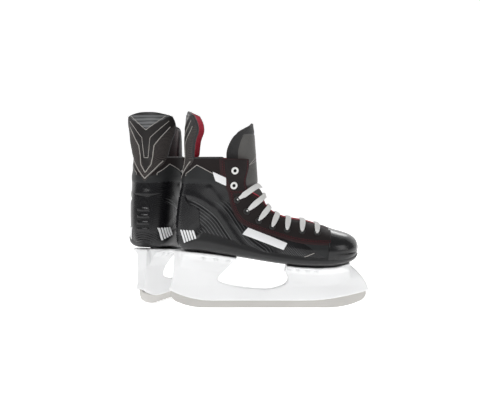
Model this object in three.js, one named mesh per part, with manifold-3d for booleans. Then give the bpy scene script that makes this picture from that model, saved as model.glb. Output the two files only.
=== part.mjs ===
// A pair of ice hockey skates: laced boots on blade holders with steel runners.
// Millimetres, +Z up. Each skate is built in its own frame: the back of the heel is at
// x = 0, the toe points along +X, the lateral side is -Y, and the ice is at z = 0.
// The left skate is the mirror image of the right one.

import * as THREE from 'three';
import { mergeVertices } from 'three/addons/utils/BufferGeometryUtils.js';
import Module from 'manifold-3d';

const wasm = await Module();
wasm.setup();

// ---- driving dimensions -------------------------------------------------------------

const bootLength = 281;          // heel to toe, outside
const bootWidth = 98;            // widest place, at the ball of the foot
const heelHeight = 90;           // underside of the sole above the ice, at the heel
const ballHeight = 66;           // the same under the ball of the foot
const toeSpring = 9;             // how far the sole lifts again at the toe
const shaftHeight = 138;         // top of the collar above the sole at the heel

const shellWall = 4.5;           // boot shell
const facingProud = 1.3;         // how far facings and toe cap stand out of the shell
const facingDepth = 3.8;         // thickness of the facings
const stripWall = 0.9;           // backing strip that holds the eyelets
const stripWidth = 9;
const liningWall = 3.7;          // padded lining
const tongueWall = 6.5;          // padded tongue
const soleWall = 4;              // outsole
const soleWrap = 6;              // how far the outsole's rim climbs the shell
const footbedWall = 4;
const plateWall = 1;             // rivet backing plates
const clearance = 0.3;           // between touching pieces
const flatness = 0.25;           // facets closer than this to one plane are merged
const laceRoom = 1.1;            // between the lace and what it runs along

const guardWall = 6.5;           // tendon guard
const guardHeight = 70;          // tendon guard above the collar
const tongueRise = 52;           // top of the tongue above the collar

const eyeletCount = 9;           // on each facing
const lacedCount = 7;            // counted from the toe
const eyeletHole = 2;            // radius
const eyeletBarrel = 3;          // radius
const eyeletFlange = 4.8;        // radius
const eyeletLift = 0.7;          // underside of the flange above the facing
const eyeletStand = 1.6;         // top of the flange above the facing
const laceWidth = 8.5;
const laceWall = 1.5;

const runnerThickness = 2.9;
const runnerReveal = 11;         // steel seen below the holder
const runnerSeat = 11;           // steel inside the holder's slot
const tangRise = 12;             // how far the tangs stand above the rest of the steel
const holderWidth = 13;          // holder at the slot
const flangeWall = 4;            // holder's flange under the sole
const boltRadius = 2.5;
const boltHeadLip = 2.5;         // how far a bolt's head stands out round its shank
const rivetRadius = 1.8;
const rivetHead = 3.6;

// Layers under the throat, as offsets from the boot's outer face.
const facingInner = facingProud - facingDepth;
const stripOuter = facingInner - clearance;
const stripInner = stripOuter - stripWall;
const laceInside = stripInner - laceRoom - laceWall / 2;
const laceOutside = facingProud + eyeletStand + 0.4 + laceWall / 2;
const tongueOuter = laceInside - laceWall / 2 - laceRoom;
const laceOnTongue = tongueOuter + laceRoom + laceWall / 2 + 2;
const linkInside = laceInside + 0.2;    // the lace where it runs inside a facing

const leftSkateAngle = THREE.MathUtils.degToRad(70);
const leftSkatePlace = new THREE.Vector3(-54, 15, 0);

// ---- solids -------------------------------------------------------------------------

const V = (x, y, z) => new THREE.Vector3(x, y, z);

function solidOf(geometry) {
  const bare = geometry.index ? geometry.clone() : geometry;
  bare.deleteAttribute('normal');
  bare.deleteAttribute('uv');
  const merged = mergeVertices(bare, 1e-4);
  const mesh = new wasm.Mesh({
    numProp: 3,
    vertProperties: new Float32Array(merged.attributes.position.array),
    triVerts: new Uint32Array(merged.index.array),
  });
  return new wasm.Manifold(mesh);
}

function geometryOf(solid) {
  const mesh = solid.getMesh();
  const geometry = new THREE.BufferGeometry();
  geometry.setAttribute('position', new THREE.BufferAttribute(new Float32Array(mesh.vertProperties), 3));
  geometry.setIndex(new THREE.BufferAttribute(new Uint32Array(mesh.triVerts), 1));
  return geometry;
}

// The triangles that close one end of a loft, across its flat loop.
function capFaces(loop) {
  const normal = V(0, 0, 0);
  loop.forEach((p, i) => {
    const q = loop[(i + 1) % loop.length];
    normal.add(new THREE.Vector3().crossVectors(p, q));
  });
  normal.normalize();
  const along = Math.abs(normal.y) < 0.9 ? V(0, 1, 0) : V(1, 0, 0);
  const u = along.addScaledVector(normal, -along.dot(normal)).normalize();
  const v = new THREE.Vector3().crossVectors(normal, u);
  const flat = loop.map((p) => new THREE.Vector2(p.dot(u), p.dot(v)));
  return THREE.ShapeUtils.triangulateShape(flat, []);
}

// A closed solid through loops that all have the same number of points.
function loft(loops) {
  const size = loops[0].length;
  const faces = [];
  for (let row = 0; row + 1 < loops.length; row += 1) {
    for (let i = 0; i < size; i += 1) {
      const a = row * size + i;
      const b = row * size + ((i + 1) % size);
      faces.push([a, b, b + size], [a, b + size, a + size]);
    }
  }
  const last = (loops.length - 1) * size;
  capFaces(loops[0]).forEach(([a, b, c]) => faces.push([c, b, a]));
  capFaces(loops.at(-1)).forEach(([a, b, c]) => faces.push([last + a, last + b, last + c]));

  const points = loops.flat();
  let volume = 0;
  faces.forEach(([a, b, c]) => {
    volume += points[a].dot(new THREE.Vector3().crossVectors(points[b], points[c]));
  });
  const outward = volume > 0 ? faces : faces.map(([a, b, c]) => [a, c, b]);
  const geometry = new THREE.BufferGeometry();
  const flat = points.flatMap((p) => p.toArray());
  geometry.setAttribute('position', new THREE.Float32BufferAttribute(flat, 3));
  geometry.setIndex(outward.flat());
  return solidOf(geometry);
}

// A side outline of [x, z] points, drawn across the skate from y = low to y = high.
function sidePrism(outline, low = -80, high = 80) {
  return loft([low, high].map((y) => outline.map(([x, z]) => V(x, y, z))));
}

// A plan outline of [x, y] points, drawn upwards.
function planPrism(outline, low = -20, high = 320) {
  const shape = new THREE.Shape(outline.map(([x, y]) => new THREE.Vector2(x, y)));
  const geometry = new THREE.ExtrudeGeometry(shape, { depth: high - low, bevelEnabled: false });
  geometry.translate(0, 0, low);
  return solidOf(geometry);
}

// A turned piece: [radius, height] points, from the axis back to the axis.
function turned(profile, sides = 12) {
  const points = profile.map(([radius, height]) => new THREE.Vector2(radius, height));
  const geometry = new THREE.LatheGeometry(points, sides);
  geometry.rotateX(Math.PI / 2);
  return solidOf(geometry);
}

// Moves a solid whose own +Z is to point along `axis` to `place`.
function stand(solid, place, axis) {
  const turn = new THREE.Quaternion().setFromUnitVectors(V(0, 0, 1), axis.clone().normalize());
  const matrix = new THREE.Matrix4().compose(place, turn, V(1, 1, 1));
  return solid.transform(Array.from(matrix.elements));
}

const join = (solids) => solids.reduce((sum, solid) => sum.add(solid));

// ---- the boot's surface -------------------------------------------------------------

// The sole's underside falls from the heel to the ball of the foot and lifts at the toe. It is
// straight between the grid's stations, so that every layer on it meets the next one.
const soleGrid = Array.from({ length: 13 }, (_, i) => {
  const x = THREE.MathUtils.lerp(-0.06, 1.06, i / 12);
  const share = THREE.MathUtils.smoothstep(x, 0, 0.79);
  const toe = Math.max(0, x - 0.81) / 0.19;
  return [x * bootLength, THREE.MathUtils.lerp(heelHeight, ballHeight, share) + toeSpring * toe * toe];
});

function soleHeight(x) {
  const next = THREE.MathUtils.clamp(soleGrid.findIndex(([gridX]) => gridX > x), 1, soleGrid.length - 1);
  const [[x0, z0], [x1, z1]] = [soleGrid[next - 1], soleGrid[next]];
  return THREE.MathUtils.mapLinear(THREE.MathUtils.clamp(x, x0, x1), x0, x1, z0, z1);
}

// The boot's sections, from the toe tip, round under the ankle, to the collar. Each lies in a
// plane across the boot from a point on the sole or heel line to a point on the instep line:
// [sole x, sole rise, instep x, instep rise, half width, shift to the big toe, place of the
//  widest point, lower roundness, upper roundness, half gap of the throat, half spread of the
//  eyelet rows].
// x is a share of bootLength, a rise is a share of shaftHeight above the heel's sole or above
// the sole at that x, and widths are shares of bootWidth.
const sections = [
  [0.985, 0.055, 0.993, 0.150, 0.130, 0.075, 0.45, 2.2, 2.2, 0.10, 0.330],
  [0.970, 0.014, 0.979, 0.222, 0.270, 0.070, 0.43, 2.6, 2.3, 0.10, 0.330],
  [0.922, 0.000, 0.932, 0.305, 0.410, 0.060, 0.41, 3.2, 2.2, 0.10, 0.330],
  [0.829, 0.000, 0.840, 0.385, 0.490, 0.040, 0.39, 4.6, 1.9, 0.11, 0.340],
  [0.694, 0.000, 0.719, 0.480, 0.500, 0.020, 0.36, 5.0, 1.5, 0.11, 0.340],
  [0.545, 0.000, 0.594, 0.515, 0.460, 0.010, 0.36, 5.0, 1.35, 0.12, 0.320],
  [0.388, 0.000, 0.520, 0.550, 0.410, 0.000, 0.38, 5.0, 1.4, 0.14, 0.320],
  [0.224, 0.000, 0.491, 0.655, 0.385, 0.000, 0.42, 5.2, 1.5, 0.18, 0.325],
  [0.085, 0.000, 0.459, 0.735, 0.375, 0.000, 0.46, 4.6, 1.65, 0.22, 0.318],
  [0.018, 0.030, 0.443, 0.805, 0.375, 0.000, 0.49, 2.6, 1.8, 0.24, 0.325],
  [0.000, 0.140, 0.438, 0.842, 0.385, 0.000, 0.50, 2.2, 1.85, 0.25, 0.335],
  [0.002, 0.320, 0.436, 0.878, 0.395, 0.000, 0.50, 2.1, 1.9, 0.25, 0.350],
  [0.014, 0.540, 0.435, 0.912, 0.415, 0.000, 0.50, 2.0, 1.95, 0.25, 0.365],
  [0.030, 0.760, 0.434, 0.945, 0.420, 0.000, 0.50, 2.0, 2.0, 0.25, 0.380],
  [0.041, 0.890, 0.434, 0.975, 0.415, 0.000, 0.50, 2.0, 2.0, 0.25, 0.380],
  [0.046, 1.000, 0.434, 1.000, 0.410, 0.000, 0.50, 2.0, 2.0, 0.25, 0.380],
];
const collarSection = sections.length - 1;
const collarHeight = heelHeight + soleWall + shaftHeight;

// One section at any t from 0 at the toe to collarSection, smooth between the rows above.
function sectionAt(t) {
  const row = Math.min(Math.floor(t), collarSection - 1);
  const rows = [row - 1, row, row + 1, row + 2].map(
    (i) => sections[THREE.MathUtils.clamp(i, 0, collarSection)],
  );
  const value = (column) => {
    const [before, start, end, after] = rows.map((cells) => cells[column]);
    const s = t - row;
    const slopeStart = (end - before) / 2;
    const slopeEnd = (after - start) / 2;
    return (2 * s ** 3 - 3 * s ** 2 + 1) * start + (s ** 3 - 2 * s ** 2 + s) * slopeStart
      + (3 * s ** 2 - 2 * s ** 3) * end + (s ** 3 - s ** 2) * slopeEnd;
  };
  const soleX = value(0) * bootLength;
  const instepX = value(2) * bootLength;
  // The rises run from the local sole at the toe end to the heel's sole at the ankle end.
  const base = soleWall + (t < 8 ? soleHeight(soleX) : heelHeight);
  const ankle = THREE.MathUtils.smoothstep(t, 5, 8);
  const instepBase = soleWall + THREE.MathUtils.lerp(soleHeight(soleX), heelHeight, ankle);
  const low = V(soleX, 0, base + value(1) * shaftHeight);
  const high = V(instepX, 0, instepBase + value(3) * shaftHeight);
  return {
    low,
    high,
    halfWidth: value(4) * bootWidth,
    shift: value(5) * bootWidth,
    widest: value(6),
    lowRound: value(7),
    highRound: value(8),
    gap: value(9) * bootWidth,
    eyeletRow: value(10) * bootWidth,
  };
}

// Carries a surface that stands `offset` off the boot forwards round the toe.
function roundToe(point, offset) {
  point.x += offset * THREE.MathUtils.smoothstep(point.x / bootLength, 0.7, 0.98);
  return point;
}

// The loop of points of one section, `offset` off the boot's outer face.
function sectionLoop(t, offset, count) {
  const section = sectionAt(t);
  const axis = section.high.clone().sub(section.low);
  const length = axis.length();
  axis.normalize();
  const loop = [];
  for (let i = 0; i < count; i += 1) {
    const angle = (2 * Math.PI * i) / count;
    const c = Math.cos(angle);
    const s = Math.sin(angle);
    const round = c > 0 ? section.highRound : section.lowRound;
    const reach = (c > 0 ? 1 - section.widest : section.widest) * length + offset;
    const along = Math.sign(c) * Math.abs(c) ** (2 / round) * reach;
    const across = Math.sign(s) * Math.abs(s) ** (2 / round) * (section.halfWidth + offset);
    const point = section.low.clone().addScaledVector(axis, section.widest * length + along);
    point.y = section.shift + across;
    loop.push(roundToe(point, offset));
  }
  return loop;
}

// A point on the instep half of section t at sideways place y, `offset` off the outer face.
function instepPoint(t, y, offset) {
  const section = sectionAt(t);
  const axis = section.high.clone().sub(section.low);
  const length = axis.length();
  axis.normalize();
  const share = Math.min(Math.abs(y) / (section.halfWidth + offset), 1);
  const reach = (1 - section.widest) * length + offset;
  const along = (1 - share ** section.highRound) ** (1 / section.highRound) * reach;
  const point = section.low.clone().addScaledVector(axis, section.widest * length + along);
  point.y = section.shift + y;
  return roundToe(point, offset);
}

// The direction square to the boot's face there, turning to straight out at the ridge.
function instepNormal(t, y) {
  const side = Math.sign(y || 1);
  const wall = side * Math.max(Math.abs(y), 8);
  const alongThroat = instepPoint(t + 0.1, wall, 0).sub(instepPoint(t - 0.1, wall, 0));
  const across = instepPoint(t, wall + 1, 0).sub(instepPoint(t, wall - 1, 0));
  const normal = new THREE.Vector3().crossVectors(alongThroat, across).normalize();
  const section = sectionAt(t);
  const outward = section.high.clone().sub(section.low).normalize();
  if (normal.dot(outward) + 0.3 * normal.y * side < 0) {
    normal.negate();
  }
  return outward.lerp(normal, Math.min(Math.abs(y) / 8, 1)).normalize();
}

// A point square off the boot's face.
function offInstep(t, y, offset) {
  return instepPoint(t, y, 0).addScaledVector(instepNormal(t, y), offset);
}

const loopPoints = 12;
const loftSteps = 13;

// The whole boot, `offset` off its outer face, and standing `above` over the collar.
function bootSolid(offset, above = 0) {
  const loops = [];
  for (let i = 0; i <= loftSteps; i += 1) {
    loops.push(sectionLoop((collarSection * i) / loftSteps, offset, loopPoints));
  }
  if (above > 0) {
    loops.push(loops.at(-1).map((p) => V(p.x, p.y, p.z + above)));
  }
  return loft(loops);
}

// The skin of the boot between two offsets, open at the collar.
const bootSkin = (outer, inner) => bootSolid(outer).subtract(bootSolid(inner, 20));

// ---- regions that cut the boot into its pieces ----------------------------------------

const at = (share) => share * bootLength;
const rise = (share) => heelHeight + soleWall + share * shaftHeight;

const toeSeam = at(0.826);

// In front of the seam between the facings and the rest of the upper.
function facingRegion(inset) {
  const seam = new THREE.SplineCurve([
    [0.250, 0.80], [0.285, 0.64], [0.305, 0.47], [0.345, 0.32], [0.42, 0.235],
    [0.58, 0.13], [0.70, 0.075], [0.86, 0.055],
  ].map(([x, z]) => new THREE.Vector2(at(x) + inset, rise(z) + inset)));
  const points = seam.getPoints(16).map((p) => [p.x, p.y]);
  const top = [at(0.235) + inset, collarHeight + 30];
  return sidePrism([top, ...points, [at(1.1), rise(0.055) + inset], [at(1.1), collarHeight + 30]]);
}

// The gap between the two facings, widened by `extra` on each side.
function throatRegion(extra) {
  const loops = [];
  for (let i = 0; i <= loftSteps; i += 1) {
    const t = THREE.MathUtils.lerp(2.6, collarSection, i / loftSteps);
    const section = sectionAt(t);
    const axis = section.high.clone().sub(section.low).normalize();
    const top = section.high.clone().addScaledVector(axis, 9);
    const bottom = section.high.clone().addScaledVector(axis, -34);
    const half = section.gap + extra;
    loops.push([[top, -half], [top, half], [bottom, half], [bottom, -half]]
      .map(([p, y]) => V(p.x, section.shift + y, p.z)));
  }
  loops.push(loops.at(-1).map((p) => V(p.x, p.y, p.z + 20)));
  return loft(loops);
}

const behind = (x) => sidePrism([[-60, -20], [x, -20], [x, 340], [-60, 340]]);
const ahead = (x) => sidePrism([[x, -20], [340, -20], [340, 340], [x, 340]]);
const lateralHalf = sidePrism([[-60, -20], [340, -20], [340, 340], [-60, 340]], -90, 0);
const medialHalf = sidePrism([[-60, -20], [340, -20], [340, 340], [-60, 340]], 0, 90);

// A layer that follows the sole, between two heights above its underside.
function soleBand(low, high) {
  const under = soleGrid.map(([x, z]) => [x, z + low]);
  const over = soleGrid.map(([x, z]) => [x, z + high]);
  return sidePrism([...under, ...over.reverse()]);
}

// The sole's outline in plan, pulled in by `inset`.
function solePlan(inset) {
  const points = [
    [0.000, 0.00], [0.045, -0.26], [0.15, -0.345], [0.35, -0.345], [0.53, -0.385], [0.70, -0.445],
    [0.83, -0.400], [0.935, -0.250], [0.983, 0.06], [0.945, 0.33], [0.86, 0.45], [0.70, 0.47],
    [0.53, 0.39], [0.35, 0.335], [0.15, 0.34], [0.045, 0.26],
  ];
  const shrunk = points.map(([x, y]) => new THREE.Vector3(
    at(0.5) + (at(x) - at(0.5)) * (1 - (2 * inset) / bootLength),
    y * bootWidth * (1 - (2 * inset) / bootWidth),
    0,
  ));
  return new THREE.CatmullRomCurve3(shrunk, true).getPoints(24).slice(0, -1).map((p) => [p.x, p.y]);
}

// ---- fastenings -------------------------------------------------------------------------

const rearRivets = { xs: [0.15, 0.215, 0.28], half: 0.17 };
const frontRivets = { xs: [0.615, 0.665, 0.715, 0.765], half: 0.2 };
const boltPlaces = { rear: at(0.12), front: at(0.755) };

const shellFloor = soleWall + shellWall;                 // above the sole's underside
const plateFloor = shellFloor + 3 * clearance;
const footbedFloor = plateFloor + plateWall + clearance;

function rivet(x, y) {
  const seat = soleHeight(x) - flangeWall - 2 * clearance;
  const top = soleHeight(x) + plateFloor + plateWall - 0.1;
  return turned([[0, seat - 1.2], [rivetHead, seat - 1.2], [rivetHead, seat], [rivetRadius, seat],
    [rivetRadius, top], [0, top]], 6).translate([x, y, 0]);
}

function rivetPlaces({ xs, half }) {
  return xs.flatMap((share) => [-1, 1].map((side) => [at(share), side * half * bootWidth]));
}

function rivetSet(group) {
  const places = rivetPlaces(group);
  const low = at(group.xs[0]) - 7;
  const high = at(group.xs.at(-1)) + 7;
  const wide = group.half * bootWidth + 6;
  const frame = planPrism([[low, -wide], [high, -wide], [high, wide], [low, wide]]);
  const plate = soleBand(plateFloor, plateFloor + plateWall).intersect(frame)
    .intersect(bootSolid(-shellWall - clearance));
  const hole = Object.values(boltPlaces).map((x) => turned(
    [[0, 0], [boltRadius + 3.5, 0], [boltRadius + 3.5, 150], [0, 150]], 6,
  ).translate([x, 0, 0]));
  return join([plate.subtract(join(hole)), ...places.map(([x, y]) => rivet(x, y))]);
}

function rivetHoles(group) {
  const grown = rivetRadius + clearance;
  const recess = rivetHead + clearance;
  return join(rivetPlaces(group).map(([x, y]) => {
    const seat = soleHeight(x) - flangeWall - clearance;
    const top = soleHeight(x) + footbedFloor - 0.1;
    return turned([[0, 20], [recess, 20], [recess, seat], [grown, seat], [grown, top], [0, top]], 6)
      .translate([x, y, 0]);
  }));
}

function bolt(x) {
  const top = soleHeight(x) + plateFloor + 2.4;
  const neck = top - 2.4;
  return turned([[0, tangTop + clearance], [boltRadius, tangTop + clearance], [boltRadius, neck],
    [boltRadius + boltHeadLip, neck], [boltRadius + boltHeadLip, top], [0, top]], 8).translate([x, 0, 0]);
}

function boltBore(x) {
  const grown = boltRadius + clearance;
  const neck = soleHeight(x) + plateFloor - clearance;
  const cut = neck + 3.5;
  const head = grown + boltHeadLip;
  return turned([[0, 20], [grown, 20], [grown, neck], [head, neck], [head, cut], [0, cut]], 8)
    .translate([x, 0, 0]);
}

const hardwareCut = join([
  ...Object.values(boltPlaces).map(boltBore), rivetHoles(rearRivets), rivetHoles(frontRivets),
]);

// ---- runner and holder --------------------------------------------------------------------

const runnerRear = at(-0.036);
const runnerFront = at(1.046);
const flatRear = at(0.157);
const flatFront = at(0.818);
const runnerLift = 25;            // how far the steel and the holder curve up at their ends
const runnerRound = 9;            // the rounded corner at each end of the steel
const seatRamp = 40;              // over which the seated depth grows from each end
const holderOverhang = 3;         // holder beyond the ends of the steel

// Height of the steel's lower edge: flat in the middle and curved up at both ends.
function steelEdge(x) {
  const rear = Math.max(0, (flatRear - x) / (flatRear - runnerRear));
  const front = Math.max(0, (x - flatFront) / (runnerFront - flatFront));
  const fromEnd = THREE.MathUtils.clamp(Math.min(x - runnerRear, runnerFront - x) / runnerRound, 0, 1);
  const corner = runnerRound * (1 - Math.sqrt(1 - (1 - fromEnd) ** 2));
  return runnerLift * (0.55 * rear ** 2.2 + 0.62 * front ** 2.4) + 0.8 * corner;
}

// Height of the holder's lower edge, a reveal above the steel's edge.
function holderEdge(x) {
  const rear = Math.max(0, (flatRear + 10 - x) / (flatRear + 10 - runnerRear));
  const front = Math.max(0, (x - flatFront + 30) / (runnerFront - flatFront + 30));
  return runnerReveal + 0.62 * runnerLift * (rear ** 2 + front ** 1.8);
}

const tangs = [[at(0.07), at(0.17)], [at(0.705), at(0.805)]];
const tangTop = runnerReveal + runnerSeat + tangRise;

// The steel's side outline, grown by `gap`, and by `drop` downwards.
function runnerOutline(gap, drop) {
  const steps = 18;
  const xs = Array.from({ length: steps + 1 }, (_, i) => THREE.MathUtils.lerp(
    runnerRear - gap, runnerFront + gap, i / steps,
  ));
  const flat = [flatRear, flatFront];
  const corners = [1, 3.5].flatMap((d) => [runnerRear - gap + d, runnerFront + gap - d]);
  const lower = [...xs, ...flat, ...corners].sort((a, b) => a - b).map((x) => [x, steelEdge(x) - drop]);
  const seated = (x) => Math.min(1, 0.35 + (runnerFront - x) / seatRamp, 0.5 + (x - runnerRear) / seatRamp);
  const top = (x) => holderEdge(x) + runnerSeat * seated(x);
  const upperXs = xs.filter((x) => tangs.every(([a, b]) => x < a - 6 || x > b + 6));
  const upper = upperXs.map((x) => [x, top(x) + gap]);
  tangs.forEach(([a, b]) => {
    upper.push([a - gap - 3, top(a) + gap], [a - gap, tangTop + gap], [b + gap, tangTop + gap],
      [b + gap + 3, top(b) + gap]);
  });
  upper.sort((p, q) => q[0] - p[0]);
  return [...lower, ...upper];
}

function runner() {
  const half = runnerThickness / 2;
  return sidePrism(runnerOutline(0, 0), -half, half);
}

const rearTower = { rear: at(-0.012), front: at(0.33), half: 0.3 };
const frontTower = { rear: at(0.6), front: at(0.955), half: 0.4 };

// The holder's side outline: rear tower, front tower and the bridge between them.
function holderOutline() {
  const steps = 18;
  const edge = Array.from({ length: steps + 1 }, (_, i) => THREE.MathUtils.lerp(
    runnerRear - holderOverhang, runnerFront + holderOverhang, i / steps,
  ));
  const bottom = edge.map((x) => [x, holderEdge(x)]);
  const top = (x) => [x, soleHeight(x) + 1];
  const under = (x) => [x, soleHeight(x) - clearance - flangeWall];
  const quarters = [0, 0.25, 0.5, 0.75, 1];
  const line = (from, to) => quarters.map((share) => top(THREE.MathUtils.lerp(from, to, share)));
  const noseX = runnerFront + holderOverhang;
  const nose = new THREE.QuadraticBezierCurve(
    new THREE.Vector2(noseX, holderEdge(noseX) + holderOverhang),
    new THREE.Vector2(runnerFront - 2, soleHeight(at(0.95)) - 22),
    new THREE.Vector2(...under(frontTower.front)),
  ).getPoints(5).map((p) => [p.x, p.y]);
  const bridge = new THREE.SplineCurve([
    [at(0.592), 57], [at(0.61), 48], [at(0.605), 40], [at(0.57), 34], [at(0.49), 29.5], [at(0.35), 33],
    [at(0.255), 38.5], [at(0.222), 44], [at(0.24), 52],
  ].map(([x, z]) => new THREE.Vector2(x, z))).getPoints(18).map((p) => [p.x, p.y]);
  return [
    ...bottom, ...nose, ...line(frontTower.front, frontTower.rear), under(frontTower.rear),
    ...bridge, under(rearTower.front), ...line(rearTower.front, rearTower.rear),
    [rearTower.rear - 1, soleHeight(0) - 9], [at(-0.02), 58], [at(-0.034), 36],
  ];
}

// Sections of the holder across the skate: a wide flange that flares into a narrow blade box.
function holderBody() {
  const xs = [-20, rearTower.rear, at(0.1), rearTower.front, at(0.38), at(0.54), frontTower.rear,
    at(0.75), at(0.85), frontTower.front, 305];
  const loops = xs.map((x) => {
    const top = soleHeight(THREE.MathUtils.clamp(x, 0, bootLength)) - clearance;
    const flange = (x < at(0.45) ? rearTower.half : frontTower.half) * bootWidth;
    const box = holderWidth / 2;
    const side = [[flange, top + 2], [flange, top - flangeWall], [flange * 0.62, top - flangeWall - 1.5],
      [box + 6, top - 13], [box + 1.5, top - 27], [box, 34], [box, 3]];
    return [...side.map(([y, z]) => V(x, y, z)), ...side.reverse().map(([y, z]) => V(x, -y, z))];
  });
  return loft(loops);
}

function holder() {
  const strip = holderWidth / 2 + 2;
  const blade = planPrism([[-30, -strip], [310, -strip], [310, strip], [-30, strip]]);
  const plan = planPrism(solePlan(3)).add(blade);
  const half = runnerThickness / 2 + clearance;
  const slot = sidePrism(runnerOutline(clearance, 10), -half, half);
  return holderBody().intersect(sidePrism(holderOutline())).intersect(plan)
    .subtract(slot).subtract(soleBand(-clearance, 60)).subtract(hardwareCut);
}

// ---- boot pieces --------------------------------------------------------------------------

function outsole() {
  const underCap = bootSolid(facingProud + clearance).intersect(ahead(toeSeam - clearance));
  return soleBand(0, soleWall + soleWrap).intersect(planPrism(solePlan(0)))
    .subtract(bootSolid(clearance)).subtract(underCap).subtract(hardwareCut);
}

function quarter() {
  return bootSkin(0, -shellWall).intersect(behind(toeSeam - clearance))
    .subtract(facingRegion(0)).subtract(hardwareCut);
}

function toeCap() {
  return bootSkin(facingProud, -shellWall).intersect(ahead(toeSeam))
    .subtract(soleBand(-5, soleWall + clearance)).subtract(hardwareCut);
}

function facing(half) {
  const ring = bootSkin(facingProud, facingInner);
  return ring.intersect(facingRegion(clearance)).intersect(behind(toeSeam - clearance))
    .intersect(half).subtract(throatRegion(0));
}

// Padded lining of the ankle and the sides, up to the facings and down to the footbed.
function lining() {
  const outer = -shellWall - clearance;
  return bootSkin(outer, outer - liningWall).intersect(behind(at(0.68)))
    .subtract(facingRegion(-clearance)).subtract(soleBand(-20, footbedFloor + footbedWall + clearance));
}

function footbed() {
  return bootSolid(-shellWall - clearance).intersect(soleBand(footbedFloor, footbedFloor + footbedWall))
    .intersect(behind(at(0.985))).subtract(hardwareCut);
}

// The tongue: a padded band under the facings that bulges up into the throat, and stands up
// out of the collar as an arch open to the rear.
const tongueHinge = collarHeight + 1;

function tongueArch(low, high) {
  const nose = at(0.449);
  const lean = (z) => -0.07 * (z - (collarHeight - 45));
  const long = 50;
  const half = 0.3 * bootWidth;
  const wall = tongueWall + 1;
  const loops = [low, high].map((z) => {
    const middle = nose - long + lean(z);
    const arc = Array.from({ length: 13 }, (_, i) => THREE.MathUtils.lerp(-0.5, 0.5, i / 12) * Math.PI);
    const outer = arc.map((a) => V(middle + long * Math.cos(a), half * Math.sin(a), z));
    const inner = arc.map((a) => V(middle + (long - wall) * Math.cos(a), (half - wall) * Math.sin(a), z));
    return [...outer, ...inner.reverse()];
  });
  return loft(loops);
}

// Side outline of the arch: the rear edge sweeps up and forward to a tip at the front.
function tongueFin() {
  const rear = new THREE.SplineCurve([
    [0.33, -70], [0.305, -40], [0.284, 2], [0.30, 22], [0.345, 40], [0.39, 49], [0.43, tongueRise],
  ].map(([x, z]) => new THREE.Vector2(at(x), collarHeight + z))).getPoints(14).map((p) => [p.x, p.y]);
  return sidePrism([...rear, [at(0.5), collarHeight + tongueRise], [at(0.5), collarHeight - 70]]);
}

function tongueLower() {
  const archFoot = collarHeight - 35;
  const below = sidePrism([[0, 0], [300, 0], [300, archFoot + 1], [0, archFoot + 1]]);
  const band = bootSkin(tongueOuter, tongueOuter - tongueWall).intersect(facingRegion(5))
    .intersect(behind(at(0.87))).intersect(below);
  const arch = tongueArch(archFoot, tongueHinge - clearance).intersect(tongueFin())
    .intersect(facingRegion(1));
  const room = bootSolid(tongueOuter, 20).add(throatRegion(-1.5));
  return band.add(arch.intersect(room));
}

function tongueUpper() {
  return tongueArch(tongueHinge, collarHeight + tongueRise + 5).intersect(tongueFin());
}

// The tendon guard: a padded plate that wraps the Achilles tendon and flares upwards.
// [share of its height, half width, depth of the wings, x of its back]
const guardSections = [
  [0.00, 0.285, 16, 0.046], [0.18, 0.315, 18, 0.043], [0.37, 0.350, 20, 0.042], [0.57, 0.385, 24, 0.044],
  [0.74, 0.400, 22, 0.048], [0.90, 0.375, 16, 0.052], [1.00, 0.320, 10, 0.056],
];
const guardFoot = collarHeight + 0.8;

function tendonGuard() {
  const loops = guardSections.map(([share, width, depth, back]) => {
    const half = width * bootWidth;
    const z = guardFoot + share * guardHeight;
    const row = Array.from({ length: 11 }, (_, i) => THREE.MathUtils.lerp(-1, 1, i / 10));
    const outer = row.map((v) => V(at(back) + depth * Math.abs(v) ** 2.1, half * v, z));
    const inner = row.map((v) => V(
      at(back) + guardWall + (depth - 2.5) * Math.abs(v) ** 2.1, (half - 3) * v, z,
    ));
    return [...outer, ...inner.reverse()];
  });
  return loft(loops);
}

// The panel sewn on the back of the shaft below the tendon guard.
function backPanel() {
  const outline = sidePrism([[-10, rise(0.72)], [at(0.16), rise(0.82)], [at(0.16), collarHeight + 10],
    [-10, collarHeight + 10]]);
  const width = planPrism([[-20, -24], [60, -24], [60, 24], [-20, 24]]);
  return bootSkin(clearance + 1.3, clearance).intersect(outline).intersect(width)
    .subtract(facingRegion(-2));
}

// The moulded cup round the outside of the heel.
function heelCup() {
  const outline = sidePrism([[-10, heelHeight], [at(0.24), heelHeight], [at(0.17), rise(0.16)],
    [at(0.06), rise(0.33)], [-10, rise(0.36)]]);
  return bootSkin(clearance + 1.5, clearance).intersect(outline)
    .subtract(soleBand(-20, soleWall + soleWrap + clearance));
}

// Eyelets stand in an even row along each facing, between these two sections.
const eyeletRow = { start: 3.6, end: 12.7 };
const bandSteps = 8;
const ringSides = 5;

function eyeletSites(side) {
  const count = 90;
  const sites = [];
  let walked = 0;
  let previous = null;
  for (let i = 0; i <= count; i += 1) {
    const t = THREE.MathUtils.lerp(eyeletRow.start, eyeletRow.end, i / count);
    const y = side * sectionAt(t).eyeletRow;
    const point = offInstep(t, y, facingProud);
    walked += previous ? point.distanceTo(previous) : 0;
    previous = point;
    sites.push({ t, y, point, walked });
  }
  return Array.from({ length: eyeletCount }, (_, k) => {
    const target = (walked * k) / (eyeletCount - 1);
    const site = sites.find((s) => s.walked >= target - 1e-6);
    return { ...site, normal: instepNormal(site.t, site.y) };
  });
}

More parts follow.
